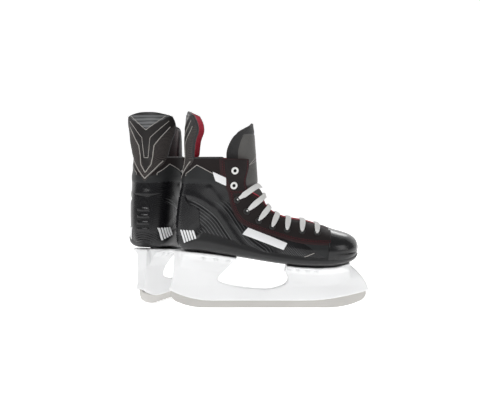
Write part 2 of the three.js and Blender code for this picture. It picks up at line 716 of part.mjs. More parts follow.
// A flat ribbon through [point, outward, width] stations, `wall` thick, swollen all round and at
// its ends by `growth`.
function ribbon(stations, wall, growth = 0) {
  const loops = stations.map(([point, outward, width], i) => {
    const before = stations[Math.max(i - 1, 0)][0];
    const after = stations[Math.min(i + 1, stations.length - 1)][0];
    const along = after.clone().sub(before).normalize();
    const up = outward.clone().addScaledVector(along, -outward.dot(along)).normalize();
    const across = new THREE.Vector3().crossVectors(along, up);
    const end = Number(i === stations.length - 1) - Number(i === 0);
    const middle = point.clone().addScaledVector(along, end * growth);
    return [[-1, -1], [1, -1], [1, 1], [-1, 1]].map(([a, b]) => middle.clone()
      .addScaledVector(across, a * (width / 2 + growth)).addScaledVector(up, b * (wall / 2 + growth)));
  });
  return loft(loops);
}

// A band along a row of eyelets, between two offsets from the boot's outer face.
function eyeletBand(side, outer, inner, width, spare = 0) {
  const sites = eyeletSites(side);
  const ends = [sites[0].t - 0.25 - spare, sites.at(-1).t + 0.5 + spare];
  return ribbon(Array.from({ length: bandSteps + 1 }, (_, i) => {
    const t = THREE.MathUtils.lerp(...ends, i / bandSteps);
    const y = side * sectionAt(t).eyeletRow;
    return [offInstep(t, y, (outer + inner) / 2), instepNormal(t, y), width];
  }), outer - inner);
}

// Room behind a facing for the backing strip and for the lace that runs from hole to hole.
function eyeletRoom(side) {
  const gap = 2 * clearance;
  return eyeletBand(side, stripOuter + gap, laceInside - laceWall, stripWidth + 2 * gap, 0.1);
}

function eyeletSet(side) {
  const sites = eyeletSites(side);
  const foot = stripInner - facingProud - 0.5;
  const ring = turned([
    [eyeletHole, foot], [eyeletBarrel, foot], [eyeletBarrel, eyeletLift], [eyeletFlange, eyeletLift],
    [eyeletFlange, eyeletStand], [eyeletHole, eyeletStand], [eyeletHole, foot],
  ], ringSides);
  const bore = turned([[0, -12], [eyeletHole + 0.4, -12], [eyeletHole + 0.4, 6], [0, 6]], ringSides);
  const rings = sites.map(({ point, normal }) => stand(ring, point, normal));
  const bores = sites.map(({ point, normal }) => stand(bore, point, normal));
  const strip = eyeletBand(side, stripOuter, stripInner, stripWidth);
  return join([strip.subtract(join(bores)), ...rings]);
}

function eyeletHoles(side) {
  const grown = eyeletBarrel + clearance;
  const seat = eyeletLift - clearance;
  const recess = eyeletFlange + clearance;
  const bore = turned([
    [0, -12], [grown, -12], [grown, seat], [recess, seat], [recess, 6], [0, 6],
  ], ringSides);
  return join(eyeletSites(side).map(({ point, normal }) => stand(bore, point, normal)));
}

// A stretch of lace along the boot: [section, sideways place, offset, width] at each stop.
const laceStops = (stops) => stops.map(
  ([t, y, offset, width]) => [offInstep(t, y, offset), instepNormal(t, y), width],
);

// The end of a bar, where the lace turns through its eyelet.
function laceTurn({ t, y, point, normal }) {
  const narrow = 2 * eyeletHole - 1.4;
  const outward = offInstep(t, y * 1.03, 0).sub(offInstep(t, y, 0)).normalize();
  const inner = point.clone().addScaledVector(normal, linkInside - laceWall / 2 - facingProud);
  const outer = point.clone().addScaledVector(normal, laceOutside - facingProud);
  return [[inner, outward, narrow], [outer, outward.clone().add(normal), narrow]];
}

// One bar: out of an eyelet, over its facing, across the tongue and into the facing opposite.
function laceBar(near, far, growth) {
  const { gap, eyeletRow } = sectionAt(near.t);
  const dip = Math.max(0, near.t - 5) * 0.25 + THREE.MathUtils.smoothstep(near.t, 8.6, 9.8);
  const level = (y) => near.t - dip * (1 - Math.abs(y) / eyeletRow);
  const half = [
    [THREE.MathUtils.lerp(eyeletRow, gap, 0.4), laceOutside],
    [gap + 0.5, laceOutside + 0.9],
    [gap * 0.75, laceOnTongue + 3.5],
  ];
  const stops = (side) => laceStops(half.map(([y, offset]) => [level(y), side * y, offset, laceWidth]));
  const crown = laceStops([[level(0), 0, laceOnTongue, laceWidth]]);
  return ribbon([
    ...laceTurn(near), ...stops(-1), ...crown, ...stops(1).reverse(), ...laceTurn(far).reverse(),
  ], laceWall, growth);
}

// A link inside a facing, from one eyelet to the next.
function laceLink(side, t0, t1, growth) {
  return ribbon(laceStops([0, 0.35, 0.7, 1].map((share) => {
    const t = THREE.MathUtils.lerp(t0, t1, share);
    return [t, side * sectionAt(t).eyeletRow, linkInside, laceWidth / 2];
  })), laceWall, growth);
}

// The whole lace, swollen by `growth`.
function lace(growth = 0) {
  const [lateral, medial] = [-1, 1].map((side) => eyeletSites(side).slice(0, lacedCount));
  const bars = lateral.map((near, k) => laceBar(near, medial[k], growth));
  const links = lateral.slice(1).map(
    (site, k) => laceLink(k % 2 ? 1 : -1, lateral[k].t, site.t, growth),
  );
  const last = lateral.at(-1).t;
  return join([...bars, ...links, laceLink(1, last, last + 1, growth)]);
}

// ---- assembly ----------------------------------------------------------------------------

const finishes = {
  composite: { color: 0x141416, roughness: 0.25, metalness: 0.0 },
  facing: { color: 0x2a2222, roughness: 0.7, metalness: 0.0 },
  felt: { color: 0x1b1b1c, roughness: 0.95, metalness: 0.0 },
  lining: { color: 0xb01c38, roughness: 0.9, metalness: 0.0 },
  weave: { color: 0x3a3533, roughness: 0.6, metalness: 0.0 },
  lace: { color: 0xf2f2f0, roughness: 0.9, metalness: 0.0 },
  plastic: { color: 0xf4f5f6, roughness: 0.35, metalness: 0.0 },
  steel: { color: 0xa8a49e, roughness: 0.3, metalness: 1.0 },
  eyelet: { color: 0xe9e9e6, roughness: 0.4, metalness: 0.2 },
};

function skate(side) {
  const skateGroup = new THREE.Group();
  const add = (name, solid, finish) => {
    const geometry = geometryOf(solid.simplify(flatness));
    const mesh = new THREE.Mesh(geometry, new THREE.MeshStandardMaterial(finishes[finish]));
    mesh.name = `${side}_${name}`;
    skateGroup.add(mesh);
  };
  add('runner', runner(), 'steel');
  add('holder', holder(), 'plastic');
  add('outsole', outsole(), 'composite');
  add('boot_shell', quarter(), 'composite');
  add('toe_cap', toeCap(), 'composite');
  const laceGroove = lace(2.6 * clearance);
  [['lateral', -1, lateralHalf], ['medial', 1, medialHalf]].forEach(([face, sign, half]) => {
    const cuts = join([eyeletHoles(sign), eyeletRoom(sign), laceGroove]);
    add(`${face}_facing`, facing(half).subtract(cuts), 'facing');
    add(`${face}_eyelets`, eyeletSet(sign), 'eyelet');
  });
  add('lace', lace(), 'lace');
  add('lining', lining(), 'lining');
  add('footbed', footbed(), 'felt');
  add('tongue', tongueLower().subtract(laceGroove), 'felt');
  add('tongue_top', tongueUpper(), 'felt');
  add('tendon_guard', tendonGuard(), 'weave');
  add('back_panel', backPanel(), 'weave');
  add('heel_cup', heelCup(), 'composite');
  add('rear_rivets', rivetSet(rearRivets), 'steel');
  add('front_rivets', rivetSet(frontRivets), 'steel');
  add('rear_bolt', bolt(boltPlaces.rear), 'steel');
  add('front_bolt', bolt(boltPlaces.front), 'steel');
  return skateGroup;
}

// The pair stands with the left skate behind the right one and turned away from it. The origin
// is in the middle of the pair's footprint, on the ice.
const right = skate('right');
const left = skate('left');
left.scale.y = -1;
left.rotation.z = leftSkateAngle;
left.position.copy(leftSkatePlace);

const group = new THREE.Group();
group.add(right, left);
group.updateMatrixWorld(true);
const footprint = new THREE.Box3().setFromObject(group, true).getCenter(V(0, 0, 0));
group.position.set(-footprint.x, -footprint.y, 0);
group.updateMatrixWorld(true);

export default group;
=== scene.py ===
import math

import bpy
import numpy as np
from mathutils import Euler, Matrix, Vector


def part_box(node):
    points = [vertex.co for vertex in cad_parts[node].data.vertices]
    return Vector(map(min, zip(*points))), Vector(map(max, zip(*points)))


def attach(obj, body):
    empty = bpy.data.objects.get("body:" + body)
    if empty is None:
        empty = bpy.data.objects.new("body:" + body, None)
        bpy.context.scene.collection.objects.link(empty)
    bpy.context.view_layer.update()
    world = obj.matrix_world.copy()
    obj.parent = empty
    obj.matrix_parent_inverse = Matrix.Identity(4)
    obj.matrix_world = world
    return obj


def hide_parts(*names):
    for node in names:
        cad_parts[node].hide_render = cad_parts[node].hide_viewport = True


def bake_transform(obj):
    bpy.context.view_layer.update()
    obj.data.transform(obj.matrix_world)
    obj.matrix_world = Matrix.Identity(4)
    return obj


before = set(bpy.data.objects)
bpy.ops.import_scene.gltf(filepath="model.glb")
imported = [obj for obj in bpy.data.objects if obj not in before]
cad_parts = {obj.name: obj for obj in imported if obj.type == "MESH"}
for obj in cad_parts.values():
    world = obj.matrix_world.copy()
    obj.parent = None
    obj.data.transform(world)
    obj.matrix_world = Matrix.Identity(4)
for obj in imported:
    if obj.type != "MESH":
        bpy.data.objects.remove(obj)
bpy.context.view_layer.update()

# ---- places ---------------------------------------------------------------------------
# Shapes are made in one skate's own frame, in millimetres: the back of the heel at x = 0,
# the toe along +X, the lateral side at -Y and the ice at z = 0. `to_row` carries them into
# the row's frame, in metres, and mirrors them for the left skate.

BOOT_LENGTH = 281.0
BOOT_WIDTH = 98.0
HEEL_HEIGHT = 90.0
BALL_HEIGHT = 66.0
TOE_SPRING = 9.0
SHAFT_HEIGHT = 138.0
SOLE_WALL = 4.0
RUNNER_REAR = -0.036 * BOOT_LENGTH
RUNNER_FRONT = 1.046 * BOOT_LENGTH
RUNNER_THICKNESS = 2.9
RUNNER_LIFT = 25.0
RUNNER_ROUND = 9.0
COLLAR_HEIGHT = HEEL_HEIGHT + SOLE_WALL + SHAFT_HEIGHT
LEFT_ANGLE = math.radians(70)
LEFT_PLACE = np.array([-54.0, 15.0, 0.0])

runner_low, runner_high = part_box("right_runner")
RIGHT_PLACE = np.array([
    runner_low[0] * 1000 - RUNNER_REAR, (runner_low[1] + runner_high[1]) * 500, 0.0,
])


def to_row(points, side):
    points = np.asarray(points, float)
    if side == "left":
        cos, sin = math.cos(LEFT_ANGLE), math.sin(LEFT_ANGLE)
        x, y, z = points[..., 0], -points[..., 1], points[..., 2]
        points = np.stack([cos * x - sin * y, sin * x + cos * y, z], -1) + LEFT_PLACE
    return (points + RIGHT_PLACE) / 1000


# ---- camera and light -----------------------------------------------------------------

def set_camera():
    camera = bpy.data.cameras.new("camera")
    camera.lens = 81.7
    camera.sensor_width = 36
    holder = bpy.data.objects.new("camera", camera)
    bpy.context.collection.objects.link(holder)
    holder.location = to_row((97.8, -1685, 258), "right")
    holder.rotation_euler = Euler((math.radians(90 - 3.6), 0, 0))
    bpy.context.scene.camera = holder


def area_light(name, place, target, size, power):
    light = bpy.data.lights.new(name, "AREA")
    light.shape = "RECTANGLE"
    light.size, light.size_y = size
    light.energy = power
    holder = bpy.data.objects.new(name, light)
    holder.location = place
    aim = Vector(target) - Vector(place)
    holder.rotation_euler = aim.to_track_quat("-Z", "Y").to_euler()
    bpy.context.collection.objects.link(holder)


def set_light():
    world = bpy.data.worlds.new("studio")
    world.use_nodes = True
    world.node_tree.nodes["Background"].inputs["Color"].default_value = (1, 1, 1, 1)
    world.node_tree.nodes["Background"].inputs["Strength"].default_value = 0.22
    bpy.context.scene.world = world
    area_light("key", (-0.9, -1.3, 1.5), (0, 0, 0.15), (0.9, 0.7), 14)
    area_light("fill", (1.3, -1.0, 0.7), (0, 0, 0.15), (0.5, 0.9), 3)
    area_light("rim", (0.3, 1.4, 1.3), (0, 0, 0.15), (1.2, 0.5), 9)
    bpy.context.scene.view_settings.view_transform = "Standard"


def set_floor():
    """A pale floor that curves up into a wall a long way behind."""
    mesh = bpy.data.meshes.new("floor")
    size, back, bend = 12.0, 4.0, 1.5
    turns = np.linspace(0, math.pi / 2, 17)
    profile = [(-size, 0.0)]
    profile += [(back + bend * math.sin(a), bend * (1 - math.cos(a))) for a in turns]
    profile.append((back + bend, size))
    points = [(x, y, z) for y, z in profile for x in (-size, size)]
    faces = [(2 * k, 2 * k + 1, 2 * k + 3, 2 * k + 2) for k in range(len(profile) - 1)]
    mesh.from_pydata(points, [], faces)
    mesh.shade_smooth()
    floor = bpy.data.objects.new("floor", mesh)
    bpy.context.collection.objects.link(floor)
    floor.location.z = -0.0005
    shade = Shade("floor")
    tone = shade.mix(shade.noise(3.0), (0.88, 0.88, 0.88), (0.90, 0.90, 0.90))
    shade.finish(tone, 0.7, specular=0.1, Emission_Color=(1, 1, 1, 1), Emission_Strength=0.62)
    mesh.materials.append(shade.material)


# ---- materials --------------------------------------------------------------------------

class Shade:
    """A procedural material, built up node by node."""

    def __init__(self, name):
        self.material = bpy.data.materials.new(name)
        self.material.use_nodes = True
        self.tree = self.material.node_tree
        self.bsdf = self.tree.nodes["Principled BSDF"]

    def node(self, kind, inputs=(), **settings):
        made = self.tree.nodes.new(kind)
        for key, value in settings.items():
            setattr(made, key, value)
        for key, value in dict(inputs).items():
            self.plug(value, made.inputs[key])
        return made

    def plug(self, value, socket):
        if isinstance(value, bpy.types.NodeSocket):
            self.tree.links.new(value, socket)
        else:
            socket.default_value = value

    def local(self):
        return self.node("ShaderNodeAttribute", attribute_name="local").outputs["Vector"]

    def value(self, name):
        return self.node("ShaderNodeAttribute", attribute_name=name).outputs["Fac"]

    def math(self, operation, first, second=0.0, third=0.0):
        made = self.node("ShaderNodeMath", operation=operation)
        for socket, value in zip(made.inputs, (first, second, third)):
            self.plug(value, socket)
        return made.outputs[0]

    def step(self, value, start, end):
        made = self.node("ShaderNodeMapRange", {"Value": value, "From Min": start, "From Max": end})
        made.interpolation_type = "SMOOTHSTEP"
        return made.outputs["Result"]

    def noise(self, scale, detail=3.0, vector=None):
        return self.node("ShaderNodeTexNoise", {
            "Vector": vector or self.local(), "Scale": scale, "Detail": detail,
        }).outputs["Fac"]

    def mix(self, share, first, second):
        made = self.node("ShaderNodeMix", data_type="RGBA")
        self.plug(share, made.inputs["Factor"])
        self.plug(share, made.inputs[0])
        self.plug((*first, 1) if isinstance(first, tuple) else first, made.inputs[6])
        self.plug((*second, 1) if isinstance(second, tuple) else second, made.inputs[7])
        return made.outputs[2]

    def waves(self, value, pitch):
        """A sine of 0 to 1 that repeats every `pitch` of the value."""
        turned = self.math("MULTIPLY", value, 2 * math.pi / pitch)
        return self.math("MULTIPLY_ADD", self.math("SINE", turned), 0.5, 0.5)

    def lines(self, value, pitch, share):
        """Narrow lines of 0 to 1, one each `pitch`, as wide as `share` of it."""
        return self.step(self.waves(value, pitch), 1 - 2 * share, 1 - share)

    def bump(self, height, depth):
        made = self.node("ShaderNodeBump", {"Height": height, "Strength": 1.0, "Distance": depth})
        self.plug(made.outputs["Normal"], self.bsdf.inputs["Normal"])

    def finish(self, color, roughness, specular=0.5, metallic=0.0, **more):
        color = (*color, 1) if isinstance(color, tuple) else color
        self.plug(color, self.bsdf.inputs["Base Color"])
        self.plug(roughness, self.bsdf.inputs["Roughness"])
        self.plug(specular, self.bsdf.inputs["Specular IOR Level"])
        self.bsdf.inputs["Metallic"].default_value = metallic
        for key, value in more.items():
            self.bsdf.inputs[key.replace("_", " ")].default_value = value


def weave_height(shade, pitch):
    """The height of a plain weave, from its place on the skate."""
    x, y, z = shade.node("ShaderNodeSeparateXYZ", {"Vector": shade.local()}).outputs
    rise = shade.math("ADD", shade.math("ADD", x, y), z)
    fall = shade.math("SUBTRACT", shade.math("SUBTRACT", x, y), z)
    return shade.math("MULTIPLY", shade.waves(rise, pitch), shade.waves(fall, pitch))


def composite_material():
    shade = Shade("composite")
    weave = weave_height(shade, 2.6)
    cloudy = shade.noise(0.03)
    base = shade.mix(weave, (0.004, 0.004, 0.005), (0.017, 0.017, 0.019))
    fan = shade.math("MULTIPLY", shade.lines(shade.value("fan"), 4.4, 0.12), shade.value("fan_share"))
    color = shade.mix(shade.math("MULTIPLY", fan, 0.6), base, (0.11, 0.112, 0.115))
    ribs = shade.lines(shade.value("stripe"), 4.0, 0.16)
    stripe = shade.math("MULTIPLY", ribs, shade.value("stripe_share"))
    color = shade.mix(shade.math("MULTIPLY", stripe, 0.6), color, (0.11, 0.11, 0.115))
    color = shade.mix(shade.value("ankle"), color, (0.020, 0.021, 0.022))
    color = shade.mix(shade.value("upper"), color, (0.019, 0.015, 0.015))
    rough = shade.math("MULTIPLY_ADD", cloudy, 0.10, 0.17)
    rough = shade.math("MULTIPLY_ADD", shade.value("ankle"), 0.22, rough)
    rough = shade.math("MULTIPLY_ADD", shade.value("upper"), 0.36, rough)
    matte = shade.math("MULTIPLY_ADD", shade.value("ankle"), 0.4, shade.value("upper"))
    shade.finish(color, rough, specular=shade.math("MULTIPLY_ADD", matte, -0.3, 0.42))
    height = shade.math("MULTIPLY_ADD", fan, 0.6, shade.math("MULTIPLY", weave, 0.25))
    height = shade.math("MULTIPLY_ADD", stripe, 0.6, height)
    shade.bump(height, 0.00022)
    return shade.material


def cap_material():
    shade = Shade("cap_plastic")
    grain = shade.noise(1.6, 2.0)
    scuffs = shade.step(shade.noise(0.09, 6.0), 0.55, 0.8)
    color = shade.mix(scuffs, (0.010, 0.010, 0.011), (0.032, 0.031, 0.030))
    shade.finish(color, shade.math("MULTIPLY_ADD", scuffs, 0.14, 0.20), specular=0.5)
    shade.bump(grain, 0.00004)
    return shade.material


def sole_material():
    shade = Shade("sole_plastic")
    grain = shade.noise(0.9, 4.0)
    shade.finish(shade.mix(grain, (0.008, 0.008, 0.009), (0.022, 0.022, 0.023)), 0.34, specular=0.45)
    shade.bump(grain, 0.0001)
    return shade.material


def facing_material():
    shade = Shade("facing_leather")
    cells = shade.node("ShaderNodeTexVoronoi", {"Vector": shade.local(), "Scale": 0.75}).outputs["Distance"]
    cloudy = shade.noise(0.06, 4.0)
    color = shade.mix(cloudy, (0.011, 0.009, 0.009), (0.024, 0.018, 0.018))
    near_seam = shade.step(shade.value("edge"), 7.0, 1.0)
    color = shade.mix(shade.math("MULTIPLY", near_seam, 0.5), color, (0.045, 0.018, 0.020))
    shade.finish(color, shade.math("MULTIPLY_ADD", cells, 0.15, 0.52), specular=0.2)
    shade.bump(shade.math("MULTIPLY_ADD", cells, -0.6, 1.0), 0.00016)
    return shade.material


def thread_material(name, color):
    shade = Shade(name)
    twist = weave_height(shade, 0.7)
    # The thread's colour is painted lighter on the crests of the twist and darker in its grooves: a painted
    # highlight and painted shade over the twist.
    lit = tuple(min(1.0, 1.25 * c) for c in color)
    shade.finish(shade.mix(twist, tuple(0.6 * c for c in color), lit), 0.75, specular=0.3)
    shade.bump(twist, 0.0001)
    return shade.material


def lining_material():
    shade = Shade("lining_textile")
    knit = weave_height(shade, 1.8)
    cloudy = shade.noise(0.05, 3.0)
    color = shade.mix(knit, (0.52, 0.014, 0.045), (0.78, 0.03, 0.085))
    color = shade.mix(shade.math("MULTIPLY", cloudy, 0.4), color, (0.30, 0.008, 0.03))
    shade.finish(color, 0.85, specular=0.2, Sheen_Weight=0.4, Sheen_Roughness=0.5)
    shade.bump(shade.math("MULTIPLY_ADD", shade.noise(0.9), 0.5, knit), 0.0003)
    return shade.material


def felt_material():
    shade = Shade("felt")
    fibre = shade.noise(1.4, 8.0)
    color = shade.mix(fibre, (0.008, 0.008, 0.009), (0.034, 0.033, 0.034))
    shade.finish(color, 0.93, specular=0.15, Sheen_Weight=0.35, Sheen_Roughness=0.6)
    shade.bump(fibre, 0.0006)
    return shade.material


def tongue_face_material():
    shade = Shade("tongue_face")
    twill = weave_height(shade, 1.5)
    cloudy = shade.noise(0.04, 3.0)
    color = shade.mix(cloudy, (0.055, 0.053, 0.050), (0.095, 0.092, 0.087))
    color = shade.mix(shade.math("MULTIPLY", twill, 0.35), color, (0.15, 0.145, 0.138))
    shade.finish(color, 0.46, specular=0.5, Sheen_Weight=0.2)
    shade.bump(twill, 0.00012)
    return shade.material


def guard_material():
    """Mesh cloth below the pale lines, smooth bands between them, and ribs at the top."""
    shade = Shade("guard_cloth")
    mesh_weave = weave_height(shade, 2.2)
    band = shade.value("band")
    crown = shade.value("crown")
    z = shade.node("ShaderNodeSeparateXYZ", {"Vector": shade.local()}).outputs["Z"]
    ribs = shade.waves(z, 5.5)
    cloth = shade.mix(mesh_weave, (0.012, 0.010, 0.010), (0.110, 0.090, 0.084))
    color = shade.mix(band, cloth, (0.012, 0.010, 0.010))
    ribbed = shade.mix(ribs, (0.055, 0.056, 0.058), (0.16, 0.165, 0.17))
    color = shade.mix(crown, color, ribbed)
    shade.finish(color, shade.math("MULTIPLY_ADD", band, -0.2, 0.62), specular=0.4)
    plain = shade.math("SUBTRACT", 1.0, band)
    height = shade.math("MULTIPLY", mesh_weave, plain)
    height = shade.math("MULTIPLY_ADD", shade.math("MULTIPLY", ribs, crown), 2.0, height)
    shade.bump(height, 0.00035)
    return shade.material


def badge_material():
    shade = Shade("badge_print")
    grain = shade.noise(0.8, 3.0)
    shade.finish(shade.mix(grain, (0.80, 0.81, 0.82), (0.92, 0.92, 0.93)), 0.35, specular=0.4)
    shade.bump(grain, 0.00004)
    return shade.material


def lace_material():
    shade = Shade("lace_weave")
    along = shade.value("along")
    across = shade.value("across")
    rise = shade.waves(shade.math("ADD", along, shade.math("ABSOLUTE", across)), 1.5)
    ribs = shade.waves(across, 1.1)
    height = shade.math("MULTIPLY", rise, shade.math("MULTIPLY_ADD", ribs, 0.5, 0.5))
    color = shade.mix(height, (0.80, 0.795, 0.78), (0.97, 0.965, 0.955))
    color = shade.mix(shade.math("MULTIPLY", shade.noise(0.08), 0.25), color, (0.88, 0.875, 0.86))
    shade.finish(color, 0.88, specular=0.2, Sheen_Weight=0.15)
    shade.bump(height, 0.0004)
    return shade.material


def holder_material():
    shade = Shade("holder_nylon")
    grain = shade.noise(0.6, 3.0)
    flow = shade.noise(0.02, 2.0)
    color = shade.mix(flow, (0.90, 0.905, 0.91), (0.94, 0.945, 0.95))
    shade.finish(color, shade.math("MULTIPLY_ADD", grain, 0.12, 0.30), specular=0.45)
    shade.bsdf.inputs["Subsurface Weight"].default_value = 0.08
    shade.bsdf.inputs["Subsurface Radius"].default_value = (0.004, 0.004, 0.004)
    shade.bump(grain, 0.00005)
    return shade.material


def steel_material():
    shade = Shade("runner_steel")
    x, y, z = shade.node("ShaderNodeSeparateXYZ", {"Vector": shade.local()}).outputs
    stretched = shade.node("ShaderNodeCombineXYZ", {
        "X": shade.math("MULTIPLY", x, 0.02), "Y": y, "Z": shade.math("MULTIPLY", z, 2.0),
    }).outputs[0]
    grind = shade.noise(1.6, 6.0, stretched)
    color = shade.mix(grind, (0.50, 0.485, 0.465), (0.66, 0.645, 0.62))
    shade.finish(color, shade.math("MULTIPLY_ADD", grind, 0.16, 0.24), metallic=1.0)
    shade.bump(grind, 0.00006)
    return shade.material


def metal_material(name, dark, light, rough, metallic):
    shade = Shade(name)
    wear = shade.noise(1.2, 5.0)
    worn = shade.math("MULTIPLY_ADD", wear, 0.15, rough)
    shade.finish(shade.mix(wear, dark, light), worn, metallic=metallic)
    shade.bump(wear, 0.00003)
    return shade.material


# ---- meshes -------------------------------------------------------------------------------

def make_piece(name, side, points, faces, materials, body, kinds=None, values=None, replaces=()):
    """One mesh object from points in a skate's own frame."""
    points = np.asarray(points, float)
    faces = [tuple(int(i) for i in face) for face in faces]
    if side == "left":
        faces = [face[::-1] for face in faces]
    mesh = bpy.data.meshes.new(f"{side}_{name}")
    mesh.from_pydata(to_row(points, side).tolist(), [], faces)
    layer = mesh.attributes.new("local", "FLOAT_VECTOR", "POINT")
    layer.data.foreach_set("vector", points.astype(np.float32).ravel())
    for key, numbers in (values or {}).items():
        layer = mesh.attributes.new(key, "FLOAT", "POINT")
        layer.data.foreach_set("value", np.asarray(numbers, np.float32).ravel())
    for material in materials:
        mesh.materials.append(material)
    if kinds is not None:
        mesh.polygons.foreach_set("material_index", np.asarray(kinds, np.int32))
    mesh.shade_smooth()
    mesh.update()
    piece = bpy.data.objects.new(f"{side}_{name}", mesh)
    bpy.context.collection.objects.link(piece)
    if body:
        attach(piece, body)
    if replaces:
        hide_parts(*[f"{side}_{node}" for node in replaces])
    return piece


def volume_of(points, faces):
    total = 0.0
    faces = np.asarray(faces)
    for second, third in ((1, 2), (2, 3)):
        a, b, c = (points[faces[:, k]] for k in (0, second, third))
        total += np.einsum("ij,ij->i", a, np.cross(b, c)).sum()
    return total


def panel(outer, inner, rim=3, closed=False, values=None):
    """A closed sheet between two grids of points, with a rounded rim round its edge.

    Gives points, faces, the kind of each face (0 outer, 1 inner, 2 rim) and the values."""
    rows, columns = outer.shape[:2]
    index = np.arange(rows * columns).reshape(rows, columns)
    span = np.arange(columns if closed else columns - 1)
    after = (span + 1) % columns
    lower, upper = index[:-1], index[1:]
    quads = np.stack([lower[:, span], lower[:, after], upper[:, after], upper[:, span]], -1)
    quads = quads.reshape(-1, 4)
    count = rows * columns
    points = [outer.reshape(-1, 3), inner.reshape(-1, 3)]
    faces = [quads, quads[:, ::-1] + count]
    kinds = [np.zeros(len(quads)), np.ones(len(quads))]
    flat = {key: np.asarray(value, float).reshape(-1) for key, value in (values or {}).items()}
    carried = {key: [value, value] for key, value in flat.items()}
    middle = ((outer + inner) / 2).reshape(-1, 3)
    row_of, column_of = np.divmod(np.arange(count), columns)
    inward_row = np.clip(row_of, 1, rows - 2)
    inward_column = column_of if closed else np.clip(column_of, 1, columns - 2)
    inward = inward_row * columns + inward_column
    if closed:
        edges = [index[0], index[-1][::-1]]
    else:
        edges = [np.concatenate([index[0], index[1:, -1], index[-1, -2::-1], index[-2:0:-1, 0]])]
    start = 2 * count
    for edge in edges:
        centre = middle[edge]
        radius = points[0][edge] - centre
        size = np.linalg.norm(radius, axis=1, keepdims=True)
        unit = radius / np.maximum(size, 1e-9)
        out = centre - middle[inward[edge]]
        out -= unit * np.sum(out * unit, axis=1, keepdims=True)
        out /= np.maximum(np.linalg.norm(out, axis=1, keepdims=True), 1e-9)
        loops = [edge]
        for k in range(1, rim + 1):
            turn = math.pi * k / (rim + 1)
            points.append(centre + radius * math.cos(turn) + out * size * math.sin(turn))
            for key, value in flat.items():
                carried[key].append(value[edge])
            loops.append(np.arange(start, start + len(edge)))
            start += len(edge)
        loops.append(edge + count)
        for near, far in zip(loops, loops[1:]):
            faces.append(np.stack([np.roll(near, -1), near, far, np.roll(far, -1)], -1))
            kinds.append(np.full(len(edge), 2))
    points, faces, kinds = np.concatenate(points), np.concatenate(faces), np.concatenate(kinds)
    if volume_of(points, faces) < 0:
        faces = faces[:, ::-1]
    return points, faces, kinds, {key: np.concatenate(value) for key, value in carried.items()}


def gather(parts):
    """Several (points, faces, values) as one."""
    points, faces, start = [], [], 0
    values = {key: [] for key in parts[0][2]}
    for part_points, part_faces, part_values in parts:
        points.append(part_points)
        faces += [[i + start for i in face] for face in part_faces]
        start += len(part_points)
        for key, value in part_values.items():
            values[key].append(value)
    return np.concatenate(points), faces, {key: np.concatenate(value) for key, value in values.items()}


def unit_rows(vectors):
    return vectors / np.maximum(np.linalg.norm(vectors, axis=-1, keepdims=True), 1e-9)


def swept(path, ups, ring, closed_ends=True):
    """A ring of [across, up] points, one set for each stop, swept along a path."""
    path, ups, ring = (np.asarray(item, float) for item in (path, ups, ring))
    along = unit_rows(np.gradient(path, axis=0))
    ups = unit_rows(ups - along * np.sum(ups * along, axis=1, keepdims=True))
    across = np.cross(along, ups)
    if ring.ndim == 2:
        ring = np.broadcast_to(ring, (len(path), *ring.shape))
    points = path[:, None] + ring[..., :1] * across[:, None] + ring[..., 1:] * ups[:, None]
    stops, sides = points.shape[:2]
    index = np.arange(stops * sides).reshape(stops, sides)
    after = np.roll(index, -1, axis=1)
    faces = np.stack([index[:-1], after[:-1], after[1:], index[1:]], -1).reshape(-1, 4).tolist()
    if closed_ends:
        faces.append(index[0][::-1].tolist())
        faces.append(index[-1].tolist())
    walked = np.concatenate([[0], np.cumsum(np.linalg.norm(np.diff(path, axis=0), axis=1))])
    values = {
        "along": np.repeat(walked, sides),
        "across": ring[..., 0].reshape(-1),
    }
    return points.reshape(-1, 3), faces, values


def round_ring(radius, sides=8):
    turns = np.arange(sides) * 2 * math.pi / sides
    return np.stack([radius * np.cos(turns), radius * np.sin(turns)], -1)


def resample(path, count):
    path = np.asarray(path, float)
    walked = np.concatenate([[0], np.cumsum(np.linalg.norm(np.diff(path, axis=0), axis=1))])
    at = np.linspace(0, walked[-1], count)
    return np.stack([np.interp(at, walked, path[:, k]) for k in range(path.shape[1])], -1)


def smooth_curve(points, count):
    """A Catmull-Rom curve through the points."""
    points = np.asarray(points, float)
    padded = np.concatenate([2 * points[:1] - points[1:2], points, 2 * points[-1:] - points[-2:-1]])
    at = np.linspace(0, len(points) - 1, count)
    row = np.minimum(at.astype(int), len(points) - 2)
    s = (at - row)[:, None]
    p0, p1, p2, p3 = (padded[row + k] for k in range(4))
    return 0.5 * (2 * p1 + (p2 - p0) * s + (2 * p0 - 5 * p1 + 4 * p2 - p3) * s**2
                  + (3 * p1 - p0 - 3 * p2 + p3) * s**3)


def stitches(path, normals, pitch, length, radius, lift=0.15):
    """Short threads along a path that lies on a surface."""
    walked = np.concatenate([[0], np.cumsum(np.linalg.norm(np.diff(path, axis=0), axis=1))])
    parts = []
    for k in range(int(walked[-1] / pitch)):
        at = k * pitch + np.linspace(0.15, 0.85, 5) * length + 0.2
        line = np.stack([np.interp(at, walked, path[:, c]) for c in range(3)], -1)
        ups = np.stack([np.interp(at, walked, normals[:, c]) for c in range(3)], -1)
        arch = np.array([-0.6, 0.5, 1, 0.5, -0.6])[:, None] * radius + lift
        ring = round_ring(radius, 6)[None] * np.array([0.5, 0.9, 1, 0.9, 0.5])[:, None, None]
        parts.append(swept(line + unit_rows(ups) * arch, ups, ring))
    return gather(parts)


# ---- the boot's surface ---------------------------------------------------------------------
# The same sections as the CAD model's, from the toe tip, round under the ankle, to the collar:
# sole x, sole rise, instep x, instep rise, half width, shift to the big toe, place of the
# widest point, lower roundness, upper roundness, half gap of the throat, half spread of the
# eyelet rows. x is a share of the boot's length, a rise of the shaft's height, a width of the
# boot's width.

